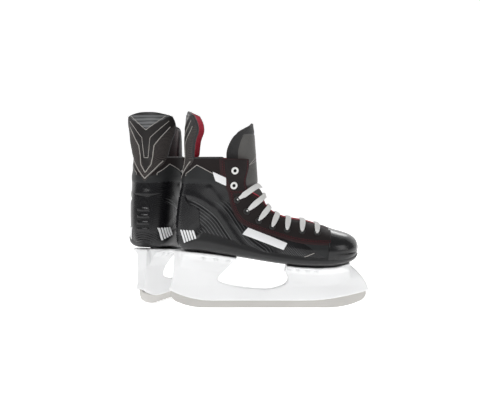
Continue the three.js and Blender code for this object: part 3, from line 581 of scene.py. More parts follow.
SECTIONS = np.array([
    [0.985, 0.055, 0.993, 0.150, 0.130, 0.075, 0.45, 2.2, 2.2, 0.10, 0.330],
    [0.970, 0.014, 0.979, 0.222, 0.270, 0.070, 0.43, 2.6, 2.3, 0.10, 0.330],
    [0.922, 0.000, 0.932, 0.305, 0.410, 0.060, 0.41, 3.2, 2.2, 0.10, 0.330],
    [0.829, 0.000, 0.840, 0.385, 0.490, 0.040, 0.39, 4.6, 1.9, 0.11, 0.340],
    [0.694, 0.000, 0.719, 0.480, 0.500, 0.020, 0.36, 5.0, 1.5, 0.11, 0.340],
    [0.545, 0.000, 0.594, 0.515, 0.460, 0.010, 0.36, 5.0, 1.35, 0.12, 0.320],
    [0.388, 0.000, 0.520, 0.550, 0.410, 0.000, 0.38, 5.0, 1.4, 0.14, 0.320],
    [0.224, 0.000, 0.491, 0.655, 0.385, 0.000, 0.42, 5.2, 1.5, 0.18, 0.325],
    [0.085, 0.000, 0.459, 0.735, 0.375, 0.000, 0.46, 4.6, 1.65, 0.22, 0.318],
    [0.018, 0.030, 0.443, 0.805, 0.375, 0.000, 0.49, 2.6, 1.8, 0.24, 0.325],
    [0.000, 0.140, 0.438, 0.842, 0.385, 0.000, 0.50, 2.2, 1.85, 0.25, 0.335],
    [0.002, 0.320, 0.436, 0.878, 0.395, 0.000, 0.50, 2.1, 1.9, 0.25, 0.350],
    [0.014, 0.540, 0.435, 0.912, 0.415, 0.000, 0.50, 2.0, 1.95, 0.25, 0.365],
    [0.030, 0.760, 0.434, 0.945, 0.420, 0.000, 0.50, 2.0, 2.0, 0.25, 0.380],
    [0.041, 0.890, 0.434, 0.975, 0.415, 0.000, 0.50, 2.0, 2.0, 0.25, 0.380],
    [0.046, 1.000, 0.434, 1.000, 0.410, 0.000, 0.50, 2.0, 2.0, 0.25, 0.380],
])
COLLAR = len(SECTIONS) - 1
TOE_SEAM = 3.0                    # the section where the toe cap meets the rest
FACING_PROUD = 1.3
FACING_INNER = -2.5
SHELL_WALL = 4.5


def smoothstep(value, start, end):
    share = np.clip((np.asarray(value, float) - start) / (end - start), 0, 1)
    return share * share * (3 - 2 * share)


def sole_height(x):
    share = smoothstep(np.asarray(x) / BOOT_LENGTH, 0, 0.79)
    toe = np.maximum(0, np.asarray(x) / BOOT_LENGTH - 0.81) / 0.19
    return HEEL_HEIGHT + (BALL_HEIGHT - HEEL_HEIGHT) * share + TOE_SPRING * toe * toe


def section_at(t):
    t = np.clip(np.asarray(t, float), 0, COLLAR)
    row = np.minimum(t.astype(int), COLLAR - 1)
    before, start, end, after = (SECTIONS[np.clip(row + k, 0, COLLAR)] for k in (-1, 0, 1, 2))
    s = (t - row)[..., None]
    cells = ((2 * s**3 - 3 * s**2 + 1) * start + (s**3 - 2 * s**2 + s) * (end - before) / 2
             + (3 * s**2 - 2 * s**3) * end + (s**3 - s**2) * (after - start) / 2)
    sole_x = cells[..., 0] * BOOT_LENGTH
    instep_x = cells[..., 2] * BOOT_LENGTH
    ground = sole_height(sole_x)
    base = SOLE_WALL + ground + (HEEL_HEIGHT - ground) * smoothstep(t, 7, 8)
    instep_base = SOLE_WALL + ground + (HEEL_HEIGHT - ground) * smoothstep(t, 5, 8)
    zero = np.zeros_like(sole_x)
    return {
        "low": np.stack([sole_x, zero, base + cells[..., 1] * SHAFT_HEIGHT], -1),
        "high": np.stack([instep_x, zero, instep_base + cells[..., 3] * SHAFT_HEIGHT], -1),
        "half": cells[..., 4] * BOOT_WIDTH,
        "shift": cells[..., 5] * BOOT_WIDTH,
        "widest": cells[..., 6],
        "low_round": cells[..., 7],
        "high_round": cells[..., 8],
        "gap": cells[..., 9] * BOOT_WIDTH,
        "row": cells[..., 10] * BOOT_WIDTH,
    }


def face_point(t, angle):
    """The boot's outer face at section t, `angle` round from the instep; positive is medial."""
    t, angle = np.broadcast_arrays(np.asarray(t, float), np.asarray(angle, float))
    section = section_at(t)
    axis = section["high"] - section["low"]
    length = np.linalg.norm(axis, axis=-1)
    axis = axis / length[..., None]
    cos, sin = np.cos(angle), np.sin(angle)
    power = np.where(cos > 0, section["high_round"], section["low_round"])
    reach = np.where(cos > 0, 1 - section["widest"], section["widest"]) * length
    spread = (np.abs(cos) ** power + np.abs(sin) ** power) ** (-1 / power)
    along = section["widest"] * length + reach * spread * cos
    point = section["low"] + axis * along[..., None]
    point[..., 1] += section["shift"] + section["half"] * spread * sin
    return point


def face_normal(t, angle):
    t, angle = np.broadcast_arrays(np.asarray(t, float), np.asarray(angle, float))
    t = np.clip(t, 0.03, COLLAR - 0.03)
    along = face_point(t + 0.02, angle) - face_point(t - 0.02, angle)
    round_ = face_point(t, angle + 0.02) - face_point(t, angle - 0.02)
    normal = unit_rows(np.cross(along, round_))
    section = section_at(t)
    outward = face_point(t, angle) - (section["low"] + section["high"]) / 2
    outward[..., 1] -= section["shift"]
    sign = np.sign(np.sum(outward * normal, axis=-1, keepdims=True))
    return normal * np.where(sign == 0, 1, sign)


def off_face(t, angle, offset):
    offset = np.asarray(offset, float)
    return face_point(t, angle) + face_normal(t, angle) * offset[..., None]


def angle_at(t, y):
    """The angle of the point of the instep half that lies y to the side."""
    section = section_at(t)
    share = np.clip(np.abs(y) / section["half"], 0, 0.999)
    height = (1 - share ** section["high_round"]) ** (1 / section["high_round"])
    return np.arctan2(share, height) * np.sign(y)


def rise(share):
    return HEEL_HEIGHT + SOLE_WALL + share * SHAFT_HEIGHT


SEAM = smooth_curve([
    [0.240, 1.02], [0.250, 0.80], [0.285, 0.64], [0.305, 0.47], [0.345, 0.32], [0.42, 0.235],
    [0.58, 0.13], [0.70, 0.075], [0.86, 0.055],
], 80) * [BOOT_LENGTH, SHAFT_HEIGHT] + [0, HEEL_HEIGHT + SOLE_WALL]


def seam_angle(t):
    """Where the facing's lower seam crosses each section."""
    t = np.atleast_1d(np.asarray(t, float))
    angles = np.linspace(0.02, math.pi, 500)
    found = []
    for place in t:
        points = face_point(place, angles)
        seam_x = np.interp(points[:, 2], SEAM[::-1, 1], SEAM[::-1, 0])
        ahead = points[:, 0] - seam_x
        ahead[points[:, 2] < SEAM[-1, 1]] = -1
        k = int(np.argmax(ahead < 0))
        found.append(np.interp(0, [ahead[k], ahead[k - 1]], [angles[k], angles[k - 1]]) if k else angles[0])
    return np.array(found)


def gap_angle(t, extra=0.0):
    """Where each facing ends at the throat; its corner at the collar is round."""
    t = np.asarray(t, float)
    section = section_at(t)
    corner = np.clip((t - 14.45) / 0.55, 0, 1)
    half = section["gap"] + extra + 7 * (1 - np.sqrt(1 - corner**2))
    return angle_at(t, half)


def near_curve(points, curve):
    """Signed distance in the side view from each point to a curve of [x, z] points."""
    flat = points[..., [0, 2]].reshape(-1, 2)
    best = np.full(len(flat), 1e9)
    signed = np.zeros(len(flat))
    for start, end in zip(curve[:-1], curve[1:]):
        line = end - start
        share = np.clip((flat - start) @ line / (line @ line), 0, 1)
        away = flat - (start + share[:, None] * line)
        distance = np.hypot(*away.T)
        side = np.sign(line[0] * away[:, 1] - line[1] * away[:, 0])
        closer = distance < best
        best[closer] = distance[closer]
        signed[closer] = (side * distance)[closer]
    return signed.reshape(points.shape[:-1])


# ---- boot pieces ------------------------------------------------------------------------------

# Side curves of the moulded swoops on the quarter, from the heel and ankle to the ball.
SWOOPS = [
    smooth_curve([[6, 178], [24, 176], [45, 166], [67, 148], [84, 124], [101, 100], [124, 82]], 40),
    smooth_curve([[52, 187], [64, 172], [77, 152], [92, 132], [108, 112], [128, 96], [152, 84]], 40),
    smooth_curve([[6, 199], [26, 202], [52, 200], [75, 192]], 24),
]
ANKLE_TOP = smooth_curve([[-6, 193], [12, 205], [32.5, 222.5], [60, 208], [94, 189], [112, 179]], 50)
ANKLE_FOOT = smooth_curve([[-8, 192], [10, 194], [40, 195.5], [59, 194], [79, 184], [98, 171]], 40)


def swoop_height(flat):
    """How far the moulded swoops stand out at points of the boot's face."""
    height = np.zeros(flat.shape[:-1])
    for curve, tall, wide in zip(SWOOPS, (1.0, 1.2, 0.8), (4.5, 5.0, 5.0)):
        height += tall * np.exp(-(near_curve(flat, curve) / wide) ** 2)
    height -= 0.7 * np.exp(-((near_curve(flat, SWOOPS[0]) + 8) / 3.0) ** 2)
    foot = sole_height(flat[..., 0])
    return height * smoothstep(flat[..., 2], foot + 6, foot + 18)


def quarter(side):
    """The boot's shell below the facings, with its moulded swoops."""
    t = np.linspace(TOE_SEAM - 0.12, COLLAR, 190)
    tuck = 0.05
    seam = seam_angle(t) - tuck
    share = np.linspace(0, 1, 230)
    angle = seam[:, None] + (2 * math.pi - 2 * seam[:, None]) * share
    t_grid = np.broadcast_to(t[:, None], angle.shape)
    flat = face_point(t_grid, angle)
    x, z = flat[..., 0], flat[..., 2]
    outer = off_face(t_grid, angle, swoop_height(flat))
    inner = off_face(t_grid, angle, np.full(angle.shape, -SHELL_WALL))
    fan = near_curve(flat, SWOOPS[0])
    fan_share = smoothstep(fan, -48, -40) * smoothstep(fan, -3, -6) * smoothstep(x, 18, 30)
    fan_share *= smoothstep(x, 135, 120) * smoothstep(z, sole_height(x) + 10, sole_height(x) + 16)
    other = smoothstep(fan, 6, 10) * smoothstep(fan, 30, 24) * smoothstep(z, 172, 160)
    fan_share = np.maximum(fan_share, 0.7 * other * smoothstep(x, 50, 60))
    stripe = z + 1.15 * x
    stripe_share = smoothstep(x, 150, 168) * smoothstep(x, 208, 200)
    stripe_share *= smoothstep(z, 76, 84) * smoothstep(z, 122 - 0.4 * (x - 130), 112 - 0.4 * (x - 130))
    above = near_curve(flat, ANKLE_TOP)
    ankle = smoothstep(above, 0.4, -0.4) * smoothstep(near_curve(flat, ANKLE_FOOT), -0.4, 0.4)
    upper = smoothstep(above, -0.4, 0.4)
    values = {"fan": fan, "fan_share": fan_share, "stripe": stripe, "stripe_share": stripe_share,
              "ankle": ankle, "upper": upper}
    points, faces, kinds, values = panel(outer, inner, rim=4, values=values)
    make_piece("quarter", side, points, faces, [COMPOSITE, COMPOSITE, FELT], f"{side}_boot",
               kinds, values, replaces=("boot_shell",))


def toe_cap(side):
    """The hard cap over the toes, closed at the nose, with a crease above the toe rim."""
    t = np.concatenate([np.linspace(0, 0.4, 14), np.linspace(0.44, TOE_SEAM + 0.03, 70)])
    angle = np.linspace(0, 2 * math.pi, 160, endpoint=False)
    t_grid, angle = np.meshgrid(t, angle, indexing="ij")
    crease = np.exp(-(((np.cos(angle) + 0.12) / 0.10) ** 2)) * smoothstep(t_grid, 2.6, 1.2)
    low = smoothstep(np.cos(angle), -0.05, -0.35) * smoothstep(t_grid, TOE_SEAM, 2.2)
    outer = off_face(t_grid, angle, FACING_PROUD - 0.9 * crease + 0.5 * low)
    nose = outer[0].mean(axis=0) + [1.0, 0, 0]
    domes = []
    for turn in np.linspace(0, math.pi / 2, 9)[:-1]:
        ring = nose + (outer[0] - nose) * [1, math.sin(turn), math.sin(turn)]
        ring[:, 0] = outer[0][:, 0] + 1.1 * math.cos(turn)
        domes.append(ring)
    domes[0] = np.broadcast_to(nose + [0.4, 0, 0], outer[0].shape) + (outer[0] - nose) * [0, 0.01, 0.01]
    outer = np.concatenate([domes, outer])
    middle = outer.mean(axis=1, keepdims=True)
    inner = outer + unit_rows(middle - outer) * 2.0 - [1.5, 0, 0]
    points, faces, kinds, values = panel(outer, inner, rim=3, closed=True)
    make_piece("toe_cap", side, points, faces, [CAP], f"{side}_boot",
               np.zeros(len(kinds)), replaces=("toe_cap",))


def facing_grid(sign, rows, columns):
    """Places on one facing: sections, angles, and the distance to its nearest edge."""
    t = np.linspace(TOE_SEAM - 0.02, COLLAR, rows)
    gap, seam = gap_angle(t), seam_angle(t)
    share = np.linspace(0, 1, columns)
    angle = gap[:, None] + (seam - gap)[:, None] * share
    t_grid = np.broadcast_to(t[:, None], angle.shape)
    points = face_point(t_grid, angle)
    steps = np.linalg.norm(np.diff(points, axis=1), axis=-1)
    walked = np.concatenate([np.zeros((rows, 1)), np.cumsum(steps, axis=1)], axis=1)
    return t_grid, sign * angle, walked


def facing(side, name, sign):
    t_grid, angle, walked = facing_grid(sign, 150, 60)
    width = walked[:, -1:]
    edge = np.minimum(walked, width - walked)
    collar = (COLLAR - t_grid) * 15
    edge = np.minimum(edge, collar)
    crown = 0.5 * smoothstep(edge, 0, 9) - 0.35 * np.exp(-((edge - 4.2) / 1.0) ** 2)
    flat = face_point(t_grid, angle)
    crown -= 0.4 * np.exp(-((flat[..., 2] - 182) / 1.3) ** 2)
    outer = off_face(t_grid, angle, FACING_PROUD - 0.4 + crown)
    inner = off_face(t_grid, angle, np.full(angle.shape, FACING_INNER))
    points, faces, kinds, values = panel(outer, inner, rim=4, values={"edge": edge})
    make_piece(name, side, points, faces, [FACING, FELT, FACING], f"{side}_boot",
               kinds, values, replaces=(name,))


def vamp(side):
    """The piece that joins the two facings in front of the first lace."""
    rear = 3.42
    t, across = np.meshgrid(np.linspace(TOE_SEAM - 0.1, rear, 24), np.linspace(-1, 1, 61), indexing="ij")
    angle = angle_at(t, across * 17)
    outer = off_face(t, angle, 0.3 + 0.7 * smoothstep(t, rear, rear - 0.14))
    inner = off_face(t, angle, np.full(t.shape, FACING_INNER))
    edge = np.full(t.shape, 9.0)
    points, faces, kinds, values = panel(outer, inner, rim=4, values={"edge": edge})
    make_piece("vamp", side, points, faces, [FACING], f"{side}_boot",
               np.zeros(len(kinds)), values)


def facing_stitches(side):
    """Double rows along the lower seam and the throat, and single rows across."""
    parts = []
    for sign in (-1, 1):
        t_grid, angle, walked = facing_grid(sign, 150, 60)
        width = walked[:, -1]

        def row_at(distance, from_seam, first=0, last=150):
            line_t, line_angle = [], []
            for k in range(first, last):
                at = width[k] - distance if from_seam else distance
                line_t.append(t_grid[k, 0])
                line_angle.append(np.interp(at, walked[k], angle[k]))
            line_t, line_angle = np.array(line_t), np.array(line_angle)
            path = resample(off_face(line_t, line_angle, np.full(len(line_t), FACING_PROUD - 0.15)), 400)
            ups = resample(face_normal(line_t, line_angle), 400)
            return stitches(path, ups, pitch=2.6, length=1.9, radius=0.32)

        parts += [row_at(3.2, True), row_at(5.6, True), row_at(3.0, False, 2, 146)]
        for level in (182.5, 180.3):
            inside = []
            for k in range(0, 60):
                heights = face_point(t_grid[:, k], angle[:, k])[:, 2]
                if heights[0] < level < heights[-1]:
                    inside.append([np.interp(level, heights, grid[:, k]) for grid in (t_grid, angle)])
            line = np.array(inside[2:-2])
            path = off_face(line[:, 0], line[:, 1], np.full(len(line), FACING_PROUD - 0.15))
            parts.append(stitches(path, face_normal(line[:, 0], line[:, 1]), 2.6, 1.9, 0.32))
    points, faces, values = gather(parts)
    make_piece("facing_stitches", side, points, faces, [RED_THREAD], f"{side}_boot",
               values=values)


def throat_piping(side):
    """The red edge of the lining that shows along the throat."""
    parts = []
    for sign in (-1, 1):
        t = np.linspace(TOE_SEAM + 0.45, 8.0, 120)
        angle = sign * gap_angle(t, -1.0)
        path = off_face(t, angle, np.full(len(t), -0.6))
        parts.append(swept(path, face_normal(t, angle), round_ring(1.0, 10) * [1, 1.4]))
    points, faces, values = gather(parts)
    make_piece("throat_piping", side, points, faces, [LINING], f"{side}_boot", values=values)


def lining(side):
    """The padded lining, thick round the ankle, that rolls over at the collar."""
    t = np.linspace(TOE_SEAM, COLLAR, 110)
    gap = gap_angle(t, -0.5)
    angle = gap[:, None] + (2 * math.pi - 2 * gap[:, None]) * np.linspace(0, 1, 120)
    t_grid = np.broadcast_to(t[:, None], angle.shape)
    flat = face_point(t_grid, angle)
    ankle = np.exp(-((flat[..., 2] - 178) / 22) ** 2) * np.exp(-((flat[..., 0] - 48) / 30) ** 2)
    hidden = smoothstep(near_seam(flat), -3, 3)
    outer = off_face(t_grid, angle, -SHELL_WALL - 0.2 + 1.8 * hidden)
    pad = 3.6 + 2.2 * ankle - 1.6 * hidden
    quilt = 0.35 * np.cos(flat[..., 2] * 2 * math.pi / 18) * (1 - hidden)
    inner = off_face(t_grid, angle, -SHELL_WALL - 0.2 + 1.8 * hidden - pad - quilt)
    points, faces, kinds, values = panel(outer, inner, rim=5)
    piece = make_piece("lining", side, points, faces, [LINING], f"{side}_boot",
                       np.zeros(len(kinds)), values, replaces=("lining",))


def near_seam(flat):
    """How far ahead of the facing's seam a point lies, in the side view."""
    return flat[..., 0] - np.interp(flat[..., 2], SEAM[::-1, 1], SEAM[::-1, 0])


# ---- tongue ---------------------------------------------------------------------------------------

TONGUE_LONG = 50.0
TONGUE_HALF = 0.3 * BOOT_WIDTH
TONGUE_WALL = 7.0
TONGUE_TOP = COLLAR_HEIGHT + 51.5
TONGUE_REAR = smooth_curve(np.array([
    [0.33, -70], [0.305, -40], [0.284, 2], [0.30, 22], [0.345, 40], [0.39, 49], [0.43, 52],
]) * [BOOT_LENGTH, 1] + [0, COLLAR_HEIGHT], 60)


def tongue_surface(share, side_share, sink):
    """The tongue's front face, from the toe end (0) to the top (1), and across (-1 to 1)."""
    split = 0.52
    low = np.clip(share / split, 0, 1)
    t = TOE_SEAM - 0.3 + (8.4 - TOE_SEAM + 0.3) * low
    y = side_share * 27
    offset = -7.2 - sink
    band = off_face(t, angle_at(t, np.where(np.abs(y) < 0.05, 0.05, y)), offset)
    z_start = 186.0
    z = z_start + (TONGUE_TOP - z_start) * np.clip((share - split) / (1 - split), 0, 1)
    middle = 0.449 * BOOT_LENGTH - TONGUE_LONG - 0.07 * (z - (COLLAR_HEIGHT - 45))
    rear = np.interp(z, TONGUE_REAR[:, 1], TONGUE_REAR[:, 0])
    rear = rear - 6 * smoothstep(z, TONGUE_TOP - 14, TONGUE_TOP)
    widest = np.arccos(np.clip((rear - middle) / TONGUE_LONG, -0.4, 0.86))
    turn = side_share * widest
    arch = np.stack([
        middle + (TONGUE_LONG - sink) * np.cos(turn), (TONGUE_HALF - sink) * np.sin(turn), z,
    ], -1)
    arch[..., 2] -= 5 * smoothstep(z, TONGUE_TOP - 20, TONGUE_TOP) * np.abs(side_share) ** 2.5
    blend = smoothstep(share, split - 0.10, split + 0.08)[..., None]
    return band * (1 - blend) + arch * blend


def tongue(side):
    share, across = np.meshgrid(np.linspace(0, 1, 180), np.linspace(-1, 1, 81), indexing="ij")
    border = np.minimum(1 - np.abs(across), (1 - share) * 3.2)
    plump = 1.1 * smoothstep(border, 0.0, 0.25)
    groove = 0.7 * np.exp(-((border - 0.22) / 0.025) ** 2)
    outer = tongue_surface(share, across, 1.1 - plump + groove)
    inner = tongue_surface(share, across, TONGUE_WALL - 1.1 + plump)
    points, faces, kinds, values = panel(outer, inner, rim=6, values={"border": border})
    centre = values["border"][faces].mean(axis=1)
    kinds = np.where((kinds == 0) & (centre > 0.22), 1, 0)
    piece = make_piece("tongue", side, points, faces, [FELT, TONGUE_FACE], None,
                       kinds, values, replaces=("tongue", "tongue_top"))
    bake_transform(piece)
    tongue_marks(side)


def tongue_marks(side):
    """Generic pale lines printed across the front of the tongue."""
    parts = []
    for level, spread, width, height in ((0.735, 0.50, 0.55, 0.16), (0.715, 0.54, 0.3, 0.10)):
        across = np.linspace(-spread, spread, 60)
        share = level + height * 0.25 - height * (np.abs(across) / spread) ** 1.3 * 0.5
        path = tongue_surface(share, across, np.full(60, -0.05))
        ups = tongue_surface(share, across, np.full(60, -1.0)) - path
        parts.append(swept(path, ups, round_ring(1, 8) * [width, 0.25]))
    points, faces, values = gather(parts)
    piece = make_piece("tongue_lines", side, points, faces, [PIPING], None, values=values)
    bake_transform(piece)


# ---- tendon guard ------------------------------------------------------------------------------------

# Share of its height, half width, depth of the wings, x of its back.
GUARD = np.array([
    [0.00, 0.285, 16, 0.046], [0.18, 0.315, 18, 0.043], [0.37, 0.350, 20, 0.042],
    [0.57, 0.385, 24, 0.044], [0.74, 0.400, 22, 0.048], [0.90, 0.375, 16, 0.052], [1.00, 0.320, 10, 0.056],
])
GUARD_FOOT = COLLAR_HEIGHT + 0.8
GUARD_HEIGHT = 70.0
GUARD_BOTTOM = 196.0


def guard_half(z):
    fine = smooth_curve(GUARD, 60)
    above = np.interp((z - GUARD_FOOT) / GUARD_HEIGHT, fine[:, 0], fine[:, 1]) * BOOT_WIDTH
    below = 15 + (0.285 * BOOT_WIDTH - 15) * smoothstep(z, GUARD_BOTTOM, GUARD_FOOT)
    return np.where(z > GUARD_FOOT, above, below)


def guard_surface(y, z, inside=0.0, lift=0.0):
    """The back of the shaft and of the guard above it; inside is 1 on the lining's face."""
    y, z, inside = np.broadcast_arrays(*(np.asarray(a, float) for a in (y, z, inside)))
    heights = section_at(np.linspace(12, COLLAR, 60))["low"][:, 2]
    t = np.interp(z, heights, np.linspace(12, COLLAR, 60))
    section = section_at(t)
    share = np.clip(np.abs(y) / section["half"], 0, 0.98)
    back = np.arctan2(share, -(1 - share**2) ** 0.5) * np.where(y < 0, -1, 1)
    low = off_face(t, back, 1.5 - 1.2 * inside + lift)
    fine = smooth_curve(GUARD, 60)
    part = np.clip((z - GUARD_FOOT) / GUARD_HEIGHT, 0, 1)
    half, depth, spine = (np.interp(part, fine[:, 0], fine[:, k]) for k in (1, 2, 3))
    v = np.clip(np.abs(y) / (half * BOOT_WIDTH), 0, 1)
    depth = depth - 6 * (y < 0)
    x = spine * BOOT_LENGTH + depth * v**2.1 + inside * 5.5 - lift
    side_shrink = 1 - 0.07 * inside
    high = np.stack([x, y * side_shrink, z], -1)
    blend = smoothstep(z, GUARD_FOOT - 6, GUARD_FOOT + 5)[..., None]
    return low * (1 - blend) + high * blend


def guard_top(v):
    """The guard's rounded top edge."""
    return GUARD_FOOT + GUARD_HEIGHT - 0.6 - 5.5 * np.abs(v) ** 3


def guard_bottom(v):
    return GUARD_BOTTOM + 26 * np.abs(v) ** 1.4


def tendon_guard(side):
    up, v = np.meshgrid(np.linspace(0, 1, 150), np.linspace(-1, 1, 91), indexing="ij")
    z = guard_bottom(v) + (guard_top(v) - guard_bottom(v)) * up
    y = v * guard_half(z)
    edge = np.minimum((1 - np.abs(v)) * 34, (1 - up) * 100)
    puff = 1.0 * smoothstep(edge, 0, 5)
    outer = guard_surface(y, z, 0.0, puff - 1.0)
    inner = guard_surface(y * (1 - 0.02 * smoothstep(z, 225, 245)), z, 1.0)
    upper_v = guard_line(y, 276.0, 0.62)
    lower_v = guard_line(y, 209.0, 2.6)
    band_line = np.where(np.abs(y) > 13, 253 + (np.abs(y) - 13) * 1.15, lower_v + 0 * y)
    band = smoothstep(z - band_line, 0, 1.2)
    crown = smoothstep(z - upper_v, 0, 1.0) * smoothstep(z, 301, 298)
    values = {"band": band, "crown": crown}
    points, faces, kinds, values = panel(outer, inner, rim=5, values=values)
    piece = make_piece("tendon_guard", side, points, faces, [GUARD_CLOTH, LINING, FELT], None,
                       kinds, values, replaces=("tendon_guard", "back_panel"))
    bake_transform(piece)
    guard_piping(side)


def guard_line(y, foot, slope):
    return foot + slope * np.abs(y)


def guard_piping(side):
    """Pale piped lines on the back of the guard."""
    outlines = [
        ([[-34, 281], [-26, 270], [-13, 252], [-8.5, 222], [0, 209],
          [8.5, 222], [13, 252], [26, 270], [34, 281]], 0.75),
        ([[-33, 290], [-20, 277], [-7, 264], [-3.4, 233], [3.4, 233], [7, 264], [20, 277], [33, 290]], 0.5),
        ([[-29, 298], [0, 276], [29, 298]], 0.45),
        ([[-24, 227], [-12, 212], [0, 200], [12, 212], [24, 227]], 0.8),
    ]
    parts = []
    for outline, width in outlines:
        line = resample(outline, 120)
        y, z = line[:, 0], line[:, 1]
        path = guard_surface(y, z, 0.0, 0.05)
        ups = guard_surface(y, z, 0.0, 1.0) - path
        parts.append(swept(path, ups, round_ring(1, 8) * [width, 0.45]))
    points, faces, values = gather(parts)
    piece = make_piece("guard_piping", side, points, faces, [PIPING], None, values=values)
    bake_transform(piece)


# ---- eyelets and lace ------------------------------------------------------------------------------

EYELET_START, EYELET_END = 3.6, 12.7
EYELET_COUNT, LACED_COUNT = 9, 7
LACE_WIDTH, LACE_WALL = 8.6, 1.7


def eyelet_sites(sign):
    t = np.linspace(EYELET_START, EYELET_END, 400)
    angle = angle_at(t, sign * section_at(t)["row"])
    path = off_face(t, angle, np.full(len(t), FACING_PROUD))
    walked = np.concatenate([[0], np.cumsum(np.linalg.norm(np.diff(path, axis=0), axis=1))])
    at = np.interp(np.linspace(0, walked[-1], EYELET_COUNT), walked, t)
    angle = angle_at(at, sign * section_at(at)["row"])
    return at, angle


def turned(profile, place, axis, sides=28):
    """A turned ring of [radius, height] points, standing on `place` along `axis`."""
    axis = np.asarray(axis, float)
    axis = axis / np.linalg.norm(axis)
    other = np.cross(axis, [0, 0, 1.0] if abs(axis[2]) < 0.9 else [1.0, 0, 0])
    other /= np.linalg.norm(other)
    third = np.cross(axis, other)
    turns = np.arange(sides) * 2 * math.pi / sides
    rings = []
    for radius, height in profile:
        circle = np.cos(turns)[:, None] * other + np.sin(turns)[:, None] * third
        rings.append(np.asarray(place) + axis * height + circle * max(radius, 1e-4))
    index = np.arange(len(rings) * sides).reshape(len(rings), sides)
    after = np.roll(index, -1, axis=1)
    faces = np.stack([index[:-1], index[1:], after[1:], after[:-1]], -1).reshape(-1, 4).tolist()
    points = np.concatenate(rings)
    if volume_of(points, np.array(faces)) < 0:
        faces = [face[::-1] for face in faces]
    return points, faces, {"along": np.zeros(len(points))}


def eyelets(side, name, sign):
    t, angle = eyelet_sites(sign)
    places = off_face(t, angle, np.full(len(t), FACING_PROUD))
    normals = face_normal(t, angle)
    curl = [(2.2 + 1.4 * (1 - math.cos(a)), 0.5 + 1.1 * math.sin(a)) for a in np.linspace(0, math.pi, 9)]
    ring = [(2.0, -1.0), *curl, (4.9, -0.2)]
    wide = [(2.6 + 1.55 * (1 - math.cos(a)), 0.5 + 1.2 * math.sin(a)) for a in np.linspace(0, math.pi, 9)]
    wide_ring = [(2.4, -1.0), *wide, (5.7, -0.2)]
    # A near-black disc sunk in each eyelet ring: painted shade standing in for the shadowed inside of the
    # hole, since the facing under it is not cut.
    shade_dish = [(0, 0.3), (1.6, 0.32), (2.5, 0.55)]
    black, white, painted_hole_shades = [], [], []
    for k, (place, normal) in enumerate(zip(places, normals)):
        laced = k < LACED_COUNT
        (black if laced else white).append(turned(ring if laced else wide_ring, place, normal))
        painted_hole_shades.append(turned(shade_dish, place, normal))
    for label, parts, material in (("black", black, EYELET_BLACK), ("white", white, EYELET_WHITE)):
        points, faces, values = gather(parts)
        make_piece(f"{name}_{label}", side, points, faces, [material], f"{side}_boot",
                   values=values, replaces=(name,) if label == "black" else ())
    # Painted shade: the near-black discs that stand for the eyelets' shadowed holes, one object per row.
    points, faces, values = gather(painted_hole_shades)
    make_piece(f"{name}_holes", side, points, faces, [PAINTED_HOLE_SHADE], f"{side}_boot", values=values)


def lace_ring(width, wall, sides=16):
    """A flat woven band's section: nearly rectangular, with soft edges."""
    turns = np.arange(sides) * 2 * math.pi / sides
    cos, sin = np.cos(turns), np.sin(turns)
    power = 3.0
    spread = (np.abs(cos) ** power + np.abs(sin) ** power) ** (-1 / power)
    return np.stack([cos * spread * width / 2, sin * spread * wall / 2], -1)


def lace(side):
    """Bars across the tongue, from each eyelet to the one opposite."""
    parts = []
    t_near = eyelet_sites(-1)[0]
    for k in range(LACED_COUNT):
        t0 = t_near[k]
        section = section_at(t0)
        gap, row = float(section["gap"]), float(section["row"])
        dip = max(0.0, t0 - 5) * 0.25
        stops = []
        half = [
            (row + 0.4, -1.2, 2.4), (row - 0.8, 1.6, 3.6), (row - 3.2, 3.1, 6.4),
            ((row + gap) / 2, 3.3, LACE_WIDTH), (gap + 1.0, 3.2, LACE_WIDTH),
            (gap * 0.72, 0.8, LACE_WIDTH), (gap * 0.38, -2.0, LACE_WIDTH),
        ]
        centre = (0.0, -2.9, 8.4)
        for y, offset, width in [*half, centre, *half[::-1]]:
            stops.append((y, offset, width))
        signs = [-1] * len(half) + [0.001] + [1] * len(half)
        path, ups, widths = [], [], []
        for sign, (y, offset, width) in zip(signs, stops):
            t = t0 - dip * (1 - min(1.0, y / row))
            where = angle_at(t, sign * max(y, 0.5))
            ridge = face_point(t, where)
            normal = face_normal(t, where)
            path.append(ridge + normal * offset)
            ups.append(normal)
            widths.append([width])
        count = 90
        path, ups, widths = (smooth_curve(np.array(item), count) for item in (path, ups, widths))
        ends = np.clip(np.minimum(np.arange(count), np.arange(count)[::-1]) / 9, 0, 1)
        ring = np.stack([lace_ring(float(w[0]), LACE_WALL * (1.5 - 0.5 * e)) for w, e in zip(widths, ends)])
        parts.append(swept(path, ups, ring))
    points, faces, values = gather(parts)
    make_piece("lace", side, points, faces, [LACE], f"{side}_boot", values=values,
               replaces=("lace",))


# ---- sole, heel, holder and steel -----------------------------------------------------------------

def outsole(side):
    t = np.linspace(0.25, 9.4, 150)
    reach = 1.12 - 0.5 * smoothstep(t, 8.2, 9.4)
    across = np.linspace(-1, 1, 80)
    angle = math.pi + reach[:, None] * across
    t_grid = np.broadcast_to(t[:, None], angle.shape)
    thick = 0.8 + 2.8 * smoothstep(1 - np.abs(across), 0.0, 0.22) * smoothstep(t_grid, 9.4, 8.4)
    outer = off_face(t_grid, angle, thick)
    outer[..., 2] = np.maximum(outer[..., 2], sole_height(outer[..., 0]) + 0.1)
    inner = off_face(t_grid, angle, np.full(angle.shape, 0.1))
    points, faces, kinds, values = panel(outer, inner, rim=5)
    make_piece("outsole", side, points, faces, [SOLE], f"{side}_boot",
               np.zeros(len(kinds)), replaces=("outsole",))


